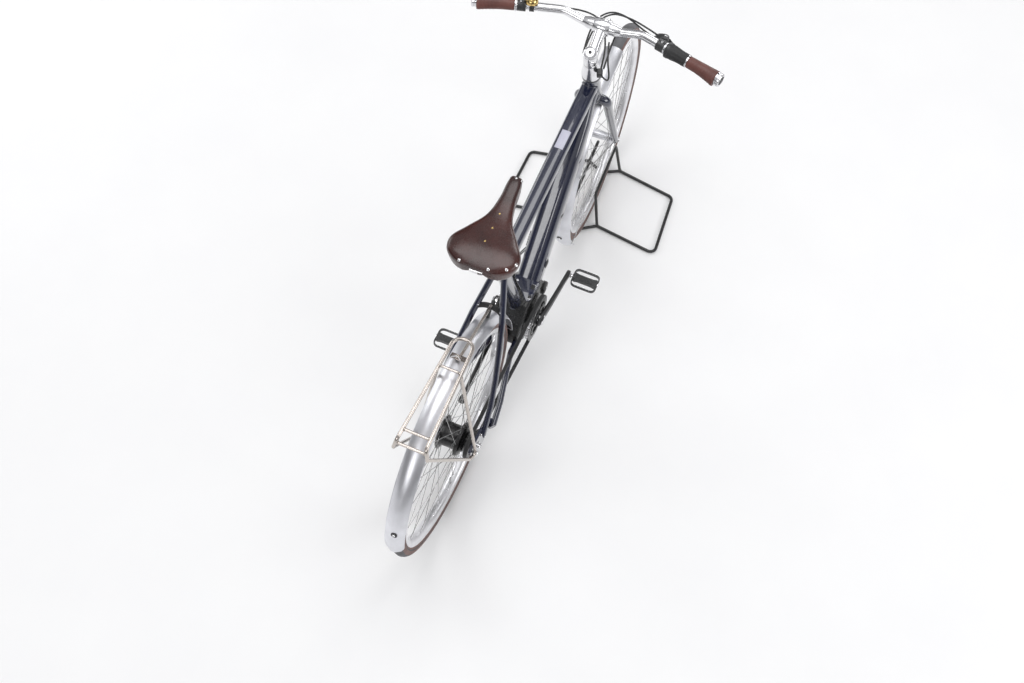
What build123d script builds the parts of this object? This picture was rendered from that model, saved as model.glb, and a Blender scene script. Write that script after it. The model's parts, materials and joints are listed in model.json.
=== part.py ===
from build123d import *
import math
import os

# Electric city bicycle with a belt drive and a gear hub, held by a rod stand at its front wheel.
# Millimetres. +X is forward, +Y is the rider's left, +Z is up, and z = 0 is the floor.

# ---- driving dimensions ----
WHEELBASE = 1115.0
REAR_X = -551.7          # rear axle, so that the whole object is centred on the origin
TYRE_R = 350.0           # outer radius of a 28 inch wheel with a 40 mm tyre
TYRE_W = 40.0
RIM_R = 317.5
RIM_INNER_R = 298.0
RIM_W = 25.0
BEAD_R = 309.0
BEAD_HALF_W = 10.2
HEAD_ANGLE = 72.5
SEAT_ANGLE = 72.5
FORK_OFFSET = 40.0
STEER_REST = 2.4         # the front wheel stands turned this far to the left
BAR_REST = 0.9           # and the handlebar, clamped a little askew, this far
BB_AHEAD = 460.0         # bottom bracket ahead of the rear axle
BB_HEIGHT = 291.0
CRANK_LENGTH = 170.0
CRANK_REST = 2.8         # degrees of the right crank above straight ahead
BELT_Y = -56.0           # centre line of the belt
BELT_W = 11.0
BELT_PITCH = 11.0
BELT_OUTER = 2.4         # the belt's back stands this far outside the pitch line
BELT_INNER = 0.8         # and the roots between its teeth this far inside
GROOVE_W = 5.4           # the belt wheels' grooves
GROOVE_DEPTH = 3.0
FLANGE = 1.4
FRONT_TEETH = 40
REAR_TEETH = 24
REAR_OLD = 135.0         # width between the rear dropouts
FRONT_OLD = 100.0
MUDGUARD_R = 359.0
MUDGUARD_HALF_W = 27.0
MUDGUARD_CROWN = 3.0     # the crown stands this far outside that radius
MUDGUARD_EDGE = 8.0      # and the edges this far inside it
MUDGUARD_WALL = 1.6
PLAY = 0.05              # radial clearance of a shaft in its bearing
GAP = 0.3                # clearance between faces that turn past each other
STEERER_R = 14.3
BAR_R = 11.1
BAR_CLAMP_R = 15.9       # the thicker middle of the handlebar, held by the stem
AXLE_R = 5.0
AXLE_NUT_R = 9.0
AXLE_PROUD = 2.0         # the axle's ends stand this far out of their nuts
SPINDLE_R = 12.0
PEDAL_PIN_R = 5.0
SPOKES = 36
SPOKE_R = 1.0
STAY_R = 8.5             # seat stays and chain stays
DROPOUT = 8.0            # thickness of the plates that hold the rear axle
FORK_TIP = 6.0           # and of those that hold the front one
RACK_ROD_R = 4.5
RACK_RAIL_R = 5.0
STAND_R = 5.0

# ---- places worked out from them ----
HUB_Z = TYRE_R
FRONT_X = REAR_X + WHEELBASE
BB = Vector(REAR_X + BB_AHEAD, 0, BB_HEIGHT)
REAR_HUB = Vector(REAR_X, 0, HUB_Z)
FRONT_HUB = Vector(FRONT_X, 0, HUB_Z)
HEAD_RAD = math.radians(HEAD_ANGLE)
UP_HEAD = Vector(-math.cos(HEAD_RAD), 0, math.sin(HEAD_RAD))
AHEAD_HEAD = Vector(math.sin(HEAD_RAD), 0, math.cos(HEAD_RAD))
HEAD_FOOT = FRONT_HUB - AHEAD_HEAD * FORK_OFFSET
HEAD = Plane(origin=HEAD_FOOT, x_dir=AHEAD_HEAD, z_dir=UP_HEAD)   # x ahead, y left, z up the steerer
STEER_AXIS = Axis(HEAD_FOOT, UP_HEAD)
SEAT_RAD = math.radians(SEAT_ANGLE)
UP_SEAT = Vector(-math.cos(SEAT_RAD), 0, math.sin(SEAT_RAD))
SEAT = Plane(origin=BB, x_dir=Vector(math.sin(SEAT_RAD), 0, math.cos(SEAT_RAD)), z_dir=UP_SEAT)
FRONT_PITCH_R = FRONT_TEETH * BELT_PITCH / (2 * math.pi)
REAR_PITCH_R = REAR_TEETH * BELT_PITCH / (2 * math.pi)

# Heights along the steerer, from the foot of the front axle.
CROWN_R = 26.0
CROWN_LOW = 361.0
CROWN_TOP = 390.0
HEAD_LOW = 400.0
HEAD_TOP = 499.0
CUP_TOP = 506.0
CONE_TOP = 600.0
STEM_TOP = 652.0

HEAD_TUBE_R = 25.0
CUP_R = 26.5
SEAT_TUBE_R = 20.0
SEAT_LOW = 96.0          # heights along the seat tube, from the bottom bracket
SEAT_TOP = 498.0
POST_R = 13.6
POST_TOP = 662.0


# ---- shape helpers ----
def rod(start, end, radius):
    start, end = Vector(start), Vector(end)
    plane = Plane(origin=start, z_dir=end - start)
    return plane * extrude(Circle(radius), (end - start).length)


def taper(start, end, radius_a, radius_b):
    if radius_a == radius_b:
        return rod(start, end, radius_a)
    start, end = Vector(start), Vector(end)
    plane = Plane(origin=start, z_dir=end - start)
    base = (Align.CENTER, Align.CENTER, Align.MIN)
    return plane * Cone(radius_a, radius_b, (end - start).length, align=base)


def bent(points, bend, radius):
    path = FilletPolyline(*points, radius=bend)
    return sweep(Plane(origin=path @ 0, z_dir=path % 0) * Circle(radius), path=path)


def ring(outer, inner, low, high, plane):
    return plane * Pos(0, 0, low) * extrude(Circle(outer) - Circle(inner), high - low)


def disc_y(centre, radius, y_a, y_b):
    return rod((centre.X, y_a, centre.Z), (centre.X, y_b, centre.Z), radius)


def turned(outline, centre):
    """A body of revolution about a wheel axle, from (radius, y) points."""
    return Pos(centre.X, 0, centre.Z) * revolve(make_face(Polyline(*outline, close=True)), Axis.Y, 360)


def side_plate(points, corner, y_high, thickness):
    """A plate parallel to the bicycle's middle plane, from (x, z) points, x counted from the rear axle."""
    outline = make_face(Polyline(*[(REAR_X + x, z) for x, z in points], close=True))
    outline = fillet(outline.vertices(), corner)
    return Pos(0, y_high, 0) * Rot(90, 0, 0) * extrude(outline, thickness)


def from_rear(points):
    """Moves points whose x is counted from the rear axle to their place."""
    return [(REAR_X + x, y, z) for x, y, z in points]


def steered(shape):
    """Turns what was built straight ahead to the front wheel's place of rest."""
    return shape.rotate(STEER_AXIS, STEER_REST)


def on_bars(shape):
    """Turns what was built straight ahead to the handlebar's place of rest."""
    return shape.rotate(STEER_AXIS, BAR_REST)


def save(name, *shapes):
    solids = []
    for shape in shapes:
        solids += shape.solids()
    body = solids[0] if len(solids) == 1 else Compound(solids)
    export_step(body, f"parts/{name}.step")


# ---- wheels ----
def tyre(hub):
    """A round tyre whose neck reaches down between the rim's two walls."""
    section = Pos(TYRE_R - TYRE_W / 2, 0) * Circle(TYRE_W / 2) - Pos(RIM_R - 20, 0) * Rectangle(40, TYRE_W + 2)
    neck = Pos((BEAD_R + RIM_R) / 2 + 2, 0) * Rectangle(RIM_R - BEAD_R + 4, 2 * BEAD_HALF_W)
    return Pos(hub.X, 0, hub.Z) * revolve(section + neck, Axis.Y, 360)


def rim(hub):
    """A rim whose two walls stand either side of the tyre's neck."""
    half = RIM_W / 2
    wall = BEAD_HALF_W + 0.1
    top = RIM_R - 0.1
    shoulder = RIM_INNER_R + 7
    return turned([
        (RIM_INNER_R, -6), (RIM_INNER_R, 6), (shoulder, half), (top, half), (top, wall), (BEAD_R, wall),
        (BEAD_R, -wall), (top, -wall), (top, -half), (shoulder, -half)], hub)


def spokes(hub, shell, flange_y, foot_r, foot_out, lean):
    """Crossed spokes: each flange has its leading spokes on its outer face and trailing ones inside."""
    wires = []
    tip_r = RIM_INNER_R - 0.2
    tip_y = 3.0
    for n in range(SPOKES):
        angle = 2 * math.pi * n / SPOKES
        side = 1 if n % 2 else -1
        lead = 1 if (n // 2) % 2 else -1
        foot_angle = angle + lead * math.radians(lean)
        foot = (hub.X + foot_r * math.cos(foot_angle), side * (flange_y + lead * foot_out),
                hub.Z + foot_r * math.sin(foot_angle))
        tip = (hub.X + tip_r * math.cos(angle), side * tip_y, hub.Z + tip_r * math.sin(angle))
        wires.append(max((rod(foot, tip, SPOKE_R) - shell).solids(), key=lambda piece: piece.volume))
    return wires


# Half outlines of the hub shells, as (radius, y) from the right-hand end to the left-hand one.
REAR_HUB_OUTLINE = [
    (14, -65), (14, -49), (21, -49), (21, -43), (30, -43), (34, -36), (46, -33), (49, -27), (49, -23.4), (39, -23),
    (35, -17), (34, 0), (35, 17), (39, 23), (49, 23.4), (49, 27), (45, 31), (27, 33), (25, 46), (16, 48), (16, 65)]
FRONT_HUB_OUTLINE = [
    (9, -48), (9, -42), (15, -39), (15, -36), (23, -34.2), (23, -31.4), (15, -30), (12.5, -24), (12.5, 24),
    (15, 30), (23, 31.4), (23, 34.2), (15, 36), (15, 39), (9, 42), (9, 48)]


def hub_shell(outline, hub):
    bore = AXLE_R + PLAY
    return turned([(bore, outline[0][1])] + outline + [(bore, outline[-1][1])], hub)


def belt_wheel(teeth, bore, centre):
    """A toothed belt wheel with a thin flange on its outboard, right-hand side. A big one has five windows."""
    pitch_r = teeth * BELT_PITCH / (2 * math.pi)
    tip_r = pitch_r - 1.2
    groove = Rectangle(2 * GROOVE_DEPTH, GROOVE_W)
    outline = Circle(tip_r)
    for n in range(teeth):
        outline -= Rot(0, 0, 360 / teeth * n) * Pos(tip_r, 0) * groove
    body = extrude(outline, BELT_W) + Pos(0, 0, BELT_W) * extrude(Circle(pitch_r + 1.6), FLANGE)
    body -= Cylinder(bore, 60)
    if pitch_r > 60:
        for n in range(5):
            body -= Rot(0, 0, 72 * n + 36) * Pos(0.58 * pitch_r, 0) * Cylinder(0.19 * pitch_r, 60)
    return Pos(centre.X, BELT_Y + BELT_W / 2, centre.Z) * Rot(90, 0, 0) * body


# ---- belt ----
def belt_loop(offset):
    """Six points of a closed loop round both belt wheels, this far outside their pitch lines, in x and z."""
    run = Vector(BB.X - REAR_X, BB_HEIGHT - HUB_Z)
    tilt = math.atan2(run.Y, run.X)
    flare = math.asin((FRONT_PITCH_R - REAR_PITCH_R) / run.length)
    points = []
    for centre, pitch_r, nose in ((BB, FRONT_PITCH_R, tilt), (REAR_HUB, REAR_PITCH_R, tilt + math.pi)):
        radius = pitch_r + offset
        for angle in (tilt + math.pi / 2 + flare, nose, tilt - math.pi / 2 - flare):
            points.append(Vector(centre.X + radius * math.cos(angle), centre.Z + radius * math.sin(angle)))
    return points


def belt_face(points):
    front_top, front_nose, front_low, rear_top, rear_tail, rear_low = points
    return make_face(Wire([
        ThreePointArc(front_top, front_nose, front_low), Line(front_low, rear_low),
        ThreePointArc(rear_low, rear_tail, rear_top), Line(rear_top, front_top)]))


def belt():
    """A closed band over both belt wheels, toothed on the inside along its two free runs."""
    inner = belt_loop(-BELT_INNER)
    front_top, _, front_low, rear_top, _, rear_low = inner
    clear = 23       # no tooth stands nearer than this to where a run meets its wheel
    teeth = []
    for rear, front, inward in ((rear_top, front_top, -1), (rear_low, front_low, 1)):
        run = front - rear
        along = run.normalized()
        normal = Vector(-along.Y, along.X) * inward
        angle = math.degrees(math.atan2(along.Y, along.X))
        for n in range(int((run.length - 2 * clear) / BELT_PITCH) + 1):
            middle = rear + along * (clear + n * BELT_PITCH) + normal * 1.3
            teeth.append(Pos(middle.X, middle.Y) * Rot(0, 0, angle) * Rectangle(6.2, 3.4))
    outline = belt_face(belt_loop(BELT_OUTER)) - belt_face(inner) + teeth
    slack = 0.3      # the belt is narrower than its wheels by this much on each side
    return Pos(0, BELT_Y + BELT_W / 2 - slack, 0) * Rot(90, 0, 0) * extrude(outline, BELT_W - 2 * slack)


# ---- frame ----
DOWN_TOP = HEAD_FOOT + UP_HEAD * 449
DOWN_FOOT = Vector(REAR_X + 536, 0, 348)
TOP_REAR = BB + UP_SEAT * 470
TOP_FRONT = HEAD_FOOT + UP_HEAD * 473
MOTOR_LEFT = 44.0
MOTOR_W = 86.0
COVER = 6.0
MOTOR_OUTLINE = [        # (x, z), with x counted from the rear axle
    (356, 278), (358, 330), (376, 366), (424, 398), (470, 400), (520, 382), (558, 340), (565, 288), (556, 248),
    (520, 226), (452, 222), (402, 236), (388, 268)]
COVER_OUTLINE = [
    (371, 288), (372, 324), (386, 354), (428, 386), (468, 388), (514, 370), (546, 334), (552, 290), (545, 256),
    (516, 238), (456, 234), (410, 246), (397, 277)]


def tube_sections(start, direction, sections, corner):
    """A tube through rounded sections, each given as distance along it, width and height."""
    faces = []
    for along, width, height in sections:
        plane = Plane(origin=start + direction * along, x_dir=Vector(0, 1, 0), z_dir=direction)
        faces.append(plane * RectangleRounded(width, height, corner))
    return loft(faces)


def head_core():
    return HEAD * Pos(0, 0, (HEAD_LOW + HEAD_TOP) / 2) * Cylinder(HEAD_TUBE_R, 160)


def drive_motor():
    body = side_plate(MOTOR_OUTLINE, 8, MOTOR_LEFT, MOTOR_W)
    cover = side_plate(COVER_OUTLINE, 7, MOTOR_LEFT + COVER, COVER)
    return body + cover - disc_y(BB, SPINDLE_R + PLAY, -80, 80)


def down_tube():
    direction = (DOWN_FOOT - DOWN_TOP).normalized()
    length = (DOWN_FOOT - DOWN_TOP).length
    tube = tube_sections(DOWN_TOP, direction, ((10, 44, 50), (90, 60, 62), (190, 68, 74), (length, 70, 78)), 16)
    return tube - head_core() - drive_motor()


def top_tube():
    direction = (TOP_FRONT - TOP_REAR).normalized()
    length = (TOP_FRONT - TOP_REAR).length
    tube = tube_sections(TOP_REAR, direction, ((0, 38, 36), (length / 2, 43, 42), (length - 10, 46, 44)), 14)
    return tube - head_core() - SEAT * Pos(0, 0, SEAT_TOP) * Cylinder(SEAT_TUBE_R, 260)


def seat_tube():
    outer = SEAT * Pos(0, 0, SEAT_LOW) * extrude(Circle(SEAT_TUBE_R), SEAT_TOP - SEAT_LOW)
    bore = SEAT * Pos(0, 0, SEAT_TOP - 160) * extrude(Circle(POST_R), 161)
    return outer - bore - drive_motor()


def dropout(side):
    """The plate that holds one end of the rear axle, with a stub for the rack's struts."""
    y_high = REAR_OLD / 2 + DROPOUT if side > 0 else -REAR_OLD / 2
    outline = [(-18, 334), (-20, 364), (-44, 374), (-44, 394), (-24, 398), (6, 392), (38, 388), (62, 352), (66, 328),
               (106, 316), (100, 299), (16, 296), (0, 304)]
    plate = side_plate(outline, 4, y_high, DROPOUT)
    plate += rod((REAR_X - 34, side * 74, 385), (REAR_X - 34, side * 90, 385), 4)
    return plate - disc_y(REAR_HUB, AXLE_R, -90, 90)


def seat_stay_route(side):
    return from_rear([(308, side * 13, 735), (231, side * 42, 628), (184, side * 55, 566), (134, side * 68, 502),
                      (84, side * 77, 440), (26, side * 80, 372)])


def seat_stay(side):
    stay = bent(seat_stay_route(side), 60, STAY_R)
    return stay - SEAT * Pos(0, 0, 450) * Cylinder(SEAT_TUBE_R, 300) - dropout(side)


def chain_stay(side):
    """A stay that swings out round the tyre and ends outside its dropout. The right one passes inside the belt."""
    route = from_rear([(404, side * 35, 290), (318, side * 38, 306), (240, side * 56, 318), (160, side * 74, 313),
                       (84, side * 84, 307)])
    return bent(route, 60, STAY_R) - drive_motor() - dropout(side)


def stay_bridge():
    """An arch between the seat stays, with a tab for the mudguard and the rack's tie rod."""
    arch = ThreePointArc(*from_rear([(243, 40, 642), (251, 0, 657), (243, -40, 642)]))
    band = sweep(Plane(origin=arch @ 0, z_dir=arch % 0) * RectangleRounded(13, 9, 3), path=arch)
    tab = rod((REAR_X + 228, 0, 621), (REAR_X + 249, 0, 652), 6)
    shape = band + tab - disc_y(REAR_HUB, MUDGUARD_R + MUDGUARD_CROWN, -40, 40)
    for side in (1, -1):
        shape -= bent(seat_stay_route(side), 60, STAY_R)
    return shape


def seat_clamp():
    centre = SEAT * Pos(0, 0, SEAT_TOP - 8)
    band = centre * (Cylinder(24, 16) - Cylinder(SEAT_TUBE_R, 20))
    ears = centre * Pos(-29, 0, 0) * Box(13, 13, 14)
    bolt = centre * Pos(-30, 0, 0) * Rot(90, 0, 0) * Cylinder(3.4, 22)
    return band + ears + bolt


# ---- saddle, built pointing straight ahead and then turned a little ----
SADDLE_REAR = REAR_X + 163
SADDLE_YAW = 2.5
SADDLE_LEFT = 6.0
SADDLE_PIVOT = BB + UP_SEAT * 655
SADDLE_STATIONS = [   # distance ahead of the rear edge, half width, crown height, depth of the skirt
    (4, 62, 976, 26), (18, 82, 984, 42), (54, 89, 986, 50), (102, 70, 980, 52), (152, 40, 977, 50),
    (206, 23, 981, 46), (250, 19, 987, 42), (270, 15, 986, 34)]


def saddle_face(x, half, crown, drop):
    """One arched cross-section of the saddle as a closed face."""
    plane = Plane(origin=(SADDLE_REAR + x, 0, 0), x_dir=(0, 1, 0), z_dir=(1, 0, 0))
    left = [(half * 0.9, crown - drop), (half, crown - drop * 0.6), (half * 0.84, crown - drop * 0.22),
            (half * 0.42, crown - drop * 0.04)]
    right = [(-y, z) for y, z in reversed(left)]
    return plane * make_face(Wire([Spline(*left, (0, crown), *right), Line(right[-1], left[0])]))


def saddle_leather():
    """The leather top, hollow underneath."""
    thick = 5
    outer = loft([saddle_face(x, half, crown, drop) for x, half, crown, drop in SADDLE_STATIONS])
    inner = loft([saddle_face(x, half - thick, crown - thick, drop + 4) for x, half, crown, drop in SADDLE_STATIONS])
    return saddle_turn(outer - inner)


def saddle_turn(shape):
    return Pos(0, SADDLE_LEFT, 0) * shape.rotate(Axis(SADDLE_PIVOT, (0, 0, 1)), SADDLE_YAW)


def saddle_rail(side):
    x = SADDLE_REAR
    path = [(x + 22, side * 42, 952), (x + 74, side * 22, 930), (x + 170, side * 22, 928), (x + 246, side * 8, 958)]
    return bent(path, 22, 3.5)


def saddle_rails():
    cantle = Pos(SADDLE_REAR + 20, 0, 952) * Box(10, 100, 14)
    nose = Pos(SADDLE_REAR + 250, 0, 960) * Box(12, 24, 10)
    return saddle_turn(saddle_rail(1) + saddle_rail(-1) + cantle + nose)


def post_head():
    block = Pos(SADDLE_REAR + 108, 0, 929) * Box(44, 60, 15)
    block = fillet(block.edges().filter_by(Axis.Y), 5)
    bolts = Pos(SADDLE_REAR + 108, 0, 917) * Rot(90, 0, 0) * Cylinder(4, 40)
    return saddle_turn(block + bolts - saddle_rail(1) - saddle_rail(-1))


def seat_post():
    tube = SEAT * Pos(0, 0, SEAT_TOP - 150) * extrude(Circle(POST_R), POST_TOP - SEAT_TOP + 150)
    return tube + post_head()


# ---- mudguards ----
def mudguard(hub, from_deg, to_deg):
    """A curved blade over a wheel, between two angles above straight ahead."""
    half, crown, edge = MUDGUARD_HALF_W, MUDGUARD_R + MUDGUARD_CROWN, MUDGUARD_R - MUDGUARD_EDGE
    inner_half = half - MUDGUARD_WALL
    outer = ThreePointArc((edge, -half), (crown, 0), (edge, half))
    inner = ThreePointArc((edge, inner_half), (crown - MUDGUARD_WALL, 0), (edge, -inner_half))
    outline = make_face(Wire([
        outer, Line((edge, half), (edge, inner_half)), inner, Line((edge, -inner_half), (edge, -half))]))
    blade = Rot(0, -to_deg, 0) * revolve(outline, Axis.Y, to_deg - from_deg)
    return Pos(hub.X, 0, hub.Z) * blade


def rim_point(hub, radius, degrees, y):
    """A place round a wheel, at an angle above straight ahead."""
    angle = math.radians(degrees)
    return (hub.X + radius * math.cos(angle), y, hub.Z + radius * math.sin(angle))


FRONT_GUARD_SPAN = (84, 221)     # degrees above straight ahead where each mudguard begins and ends
REAR_GUARD_SPAN = (8, 177)


# ---- rack ----
def rack_rail(x):
    """A place on the middle line of the left rack rail, which runs straight between its two bends."""
    ahead = 100 - x
    return (x, 26.5 + 0.0348 * ahead, 733.5 + 0.0309 * ahead)


def rack_platform():
    """One rod bent round the front and down at the rear, with two cross bars and a small arch."""
    left = [(-217, 44, 708), rack_rail(-207), rack_rail(100)]
    right = [(x, -y, z) for x, y, z in reversed(left)]
    platform = bent(from_rear(left + right), [16, 26, 26, 16], RACK_RAIL_R)
    for end in (rack_rail(-179), (-211, 39, 727)):
        opposite = (end[0], -end[1], end[2])
        platform += rod(*from_rear([end, opposite]), 4)
    return platform + bent(from_rear([(6, 29.8, 736), (6, 22.6, 744), (6, -22.6, 744), (6, -29.8, 736)]), 6, 3.5)


def rack_tie():
    """The rod from the frame's bridge to a small plate bolted on top of the rear mudguard."""
    tie = rod((REAR_X + 55, -3, 717), (REAR_X + 250, -3, 665), 4)
    plate = Pos(REAR_X + 55, 0, 718) * Rot(0, 8, 0) * Box(15, 40, 3)
    bolt = Pos(REAR_X + 55, 3, 716) * Cylinder(5, 20)
    return tie + plate + bolt


def rack_strut_front(side):
    path = from_rear([(3, side * 31.5, 731), (-30, side * 83, 388), (-44, side * 83.5, 384), (-60, side * 81, 396)])
    return bent(path, [9, 9], RACK_ROD_R)


def rack_strut_rear(side):
    return rod((REAR_X - 62, side * 80.8, 398), (REAR_X - 217, side * 44, 708), RACK_ROD_R)


# ---- kickstand ----
KICK_AXIS = Vector(0, 0.9256, 0.3785)
KICK_PIVOT = Vector(REAR_X + 372, 41, 254)
KICK = Plane(origin=KICK_PIVOT, x_dir=(1, 0, 0), z_dir=KICK_AXIS)
KICK_TIP = Vector(REAR_X + 150, 36, 264)
KICK_EYE_R = 11.0
KICK_EYE_W = 16.0
KICK_PIN_R = 4.0
KICK_CHEEK = 5.4


def kickstand():
    """The stand folded up along the left chain stay: an eye on its pin, a leg and a rubber foot."""
    eye = KICK * (Cylinder(KICK_EYE_R, KICK_EYE_W) - Cylinder(KICK_PIN_R + PLAY, 20))
    leg = taper(KICK_PIVOT, KICK_TIP, 7.8, 7.0) - KICK * Cylinder(8, 30)
    along = (KICK_TIP - KICK_PIVOT).normalized()
    return eye + leg + rod(KICK_TIP - along, KICK_TIP + along * 15, 9.5)


def kickstand_mount():
    """A fork with the pin through its two cheeks, carried by the motor and the chain stay."""
    middle = (KICK_EYE_W + KICK_CHEEK) / 2 + GAP
    width = 2 * middle + KICK_CHEEK
    mount = KICK * Cylinder(KICK_PIN_R, width)
    for level in (middle, -middle):
        mount += KICK * Pos(0, 0, level) * Cylinder(KICK_EYE_R, KICK_CHEEK)
        mount += KICK * Pos(0, -12, level) * Box(2 * KICK_EYE_R, 24, KICK_CHEEK)
    mount += KICK * Pos(0, -24, 0) * Box(2 * KICK_EYE_R, 24, width)
    return mount - chain_stay(1) - drive_motor()


# ---- cranks and pedals ----
def crank_end(side):
    angle = math.radians(CRANK_REST)
    return Vector(BB.X - side * CRANK_LENGTH * math.cos(angle), 0, BB.Z - side * CRANK_LENGTH * math.sin(angle))


def crank(side):
    """One crank with its pedal pin. side is 1 on the left, where the crank points back."""
    end = crank_end(side)
    along = (end - BB).normalized()
    faces = []
    for out, y, tall, thick in ((0, 72, 36, 15), (60, 79, 31, 14), (CRANK_LENGTH, 89, 25, 13)):
        origin = BB + along * out + Vector(0, side * y, 0)
        plane = Plane(origin=origin, x_dir=Vector(0, 1, 0), z_dir=along)
        faces.append(plane * RectangleRounded(thick, tall, 5))
    arm = loft(faces)
    arm += disc_y(BB, 18, side * 64.5, side * 80)
    arm += disc_y(end, 12.5, side * 82.5, side * 95.5)
    arm += disc_y(end, 7.5, side * 95, side * 101)
    arm += disc_y(end, PEDAL_PIN_R, side * 90, side * 180)
    return arm - disc_y(BB, SPINDLE_R, -100, 100)


def pedal(side):
    """A flat pedal: a rounded frame round a solid middle, with a long slot either side of it."""
    end = crank_end(side)
    y_in, y_out, half_x, half_z = 105, 184, 31, 9
    middle = (y_in + y_out) / 2
    outline = Pos(0, middle) * RectangleRounded(2 * half_x, y_out - y_in, 15)
    slot = RectangleRounded(16, y_out - y_in - 8, 7.9)
    cage = extrude(outline - Pos(20, middle) * slot - Pos(-20, middle) * slot, 2 * half_z)
    body = Pos(0, 0, -half_z) * cage - Rot(90, 0, 0) * Cylinder(PEDAL_PIN_R + PLAY, 600)
    body = body if side > 0 else mirror(body, Plane.XZ)
    return Pos(end.X, 0, end.Z) * body


# ---- handlebar, in places counted from the rear axle and before it is turned on its clamp ----
BAR_MIDDLE = Vector(REAR_X + 966, 0, 976)
BAR_BEND = (969, 108, 988)
BAR_TIP = (904, 338, 990)
GRIP_END = 336.0
BAR_SWEEP = math.degrees(math.atan2(BAR_BEND[0] - BAR_TIP[0], BAR_TIP[1] - BAR_BEND[1]))


def bar_at(side, y):
    """A place on the straight outer length of the handlebar."""
    part = (y - BAR_BEND[1]) / (BAR_TIP[1] - BAR_BEND[1])
    x = BAR_BEND[0] + part * (BAR_TIP[0] - BAR_BEND[0])
    z = BAR_BEND[2] + part * (BAR_TIP[2] - BAR_BEND[2])
    return Vector(REAR_X + x, side * y, z)


def bar_bore(side):
    return rod(bar_at(side, 100), bar_at(side, 360), BAR_R)


def sleeve(side, y_a, y_b, radius_a, radius_b):
    return taper(bar_at(side, y_a), bar_at(side, y_b), radius_a, radius_b)


def handlebar():
    path = from_rear([(904, -338, 990), (969, -108, 988), (966, -52, 976), (966, 52, 976), BAR_BEND, BAR_TIP])
    centre = rod(BAR_MIDDLE - Vector(0, 38, 0), BAR_MIDDLE + Vector(0, 38, 0), BAR_CLAMP_R)
    return bent(path, [70, 50, 50, 70], BAR_R) + centre


def stem():
    """The stem clamps the steerer behind and the handlebar ahead, under a cap with one bolt."""
    clamp = ring(19, STEERER_R, CONE_TOP, STEM_TOP, HEAD)
    neck = taper(HEAD_FOOT + UP_HEAD * 627, BAR_MIDDLE, 17.5, 14.5) - HEAD * Pos(0, 0, 626) * Cylinder(18, 80)
    holder = rod(BAR_MIDDLE - Vector(0, 22, 0), BAR_MIDDLE + Vector(0, 22, 0), 21)
    cap = HEAD * Pos(0, 0, STEM_TOP) * extrude(Circle(16), 6)
    bolt = HEAD * Pos(0, 0, STEM_TOP + 6) * extrude(Circle(5), 3)
    bore = rod(BAR_MIDDLE - Vector(0, 30, 0), BAR_MIDDLE + Vector(0, 30, 0), BAR_CLAMP_R)
    return clamp + neck + holder - bore + cap + bolt


def lever_clamp(side, y_a, y_b):
    """The lever's band round the bar and the housing ahead of it."""
    band = sleeve(side, y_a, y_b, 15.5, 15.5)
    middle = bar_at(side, (y_a + y_b) / 2)
    neck = Pos(middle.X + 22, middle.Y, middle.Z - 9) * Rot(0, 20, -side * 16) * Box(34, y_b - y_a - 2, 13)
    housing = Pos(middle.X + 38, middle.Y - side * 8, middle.Z - 14) * Rot(0, 20, -side * 16) * Box(34, 36, 16)
    housing = fillet(housing.edges(), 5)
    return band + neck + housing - bar_bore(side)


def lever_blade(side, y_a):
    root = bar_at(side, y_a)
    points = [root + Vector(44, 0, -16), root + Vector(38, side * 26, -34), root + Vector(0, side * 132, -56)]
    path = FilletPolyline(*points, radius=30)
    blade = sweep(Plane(origin=path @ 0, x_dir=(0, 0, 1), z_dir=path % 0) * RectangleRounded(5, 11, 2), path=path)
    return blade + Pos(path @ 1) * Sphere(6)


def grip(side, y_inner):
    """A tapered leather grip, wider behind the palm at its outer end."""
    middle = bar_at(side, 308)
    wing = Pos(middle.X - 17, middle.Y, middle.Z - 4) * Rot(0, 0, side * BAR_SWEEP) * Box(24, 42, 9)
    wing = fillet(wing.edges(), 4)
    return sleeve(side, y_inner, GRIP_END, 16, 19) + wing - bar_bore(side)


def grip_rings():
    """The metal rings beside the grips, and the caps at the bar's ends."""
    rings = [sleeve(1, 228, 232, 17.4, 17.4), sleeve(-1, 242, 246, 17.4, 17.4), sleeve(-1, 183, 192, 21, 21)]
    rings += [sleeve(side, GRIP_END, GRIP_END + 5, 19, 17.5) for side in (1, -1)]
    return [shape - handlebar() for shape in rings]


def bell():
    """A small dome on a stalk and a band round the bar."""
    band = sleeve(1, 183, 195, 14, 14) - bar_bore(1)
    middle = bar_at(1, 189)
    stalk = rod(middle + Vector(0, 0, 12), middle + Vector(-3, 0, 20), 4)
    dome = Pos(middle + Vector(-3, 0, 20)) * (Sphere(17) - Pos(0, 0, -17) * Box(40, 40, 34))
    return band + stalk + dome


def control_cables():
    """Brake and shift cables from the levers round the head tube into the frame."""
    radius = 2.3
    runs = [      # points from the rear axle's place, and the radius of their bends
        ([(984, -150, 970), (1012, -96, 962), (1040, -38, 962), (1040, 10, 958), (985, 40, 950), (905, 26, 925)], 24),
        ([(990, -158, 978), (1020, -90, 972), (1030, -30, 970), (1022, 0, 968), (985, 27, 960), (915, 24, 940)], 14),
        ([(963, 196, 968), (998, 112, 966), (1022, 50, 950), (1008, 10, 942), (938, -26, 924), (892, -30, 897)], 20),
        ([(978, -168, 965), (1004, -76, 952), (1004, -34, 948), (950, -33, 932), (896, -37, 903)], 16),
        ([(935, -31, 962), (893, -44, 945), (858, -66, 922), (862, -58, 900), (880, -38, 894)], [16, 10, 8])]
    cables = []
    for points, bend in runs:
        cables.append(bent(from_rear(points), bend, radius))
    return cables


# ---- display stand ----
STAND_FRONT = 144.0      # where each hoop meets the floor, ahead of and behind the front axle
STAND_REAR = -99.0
STAND_OUT = 56.0
STAND_HIGH = 150.0
STAND_YAW = 2.3


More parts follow.
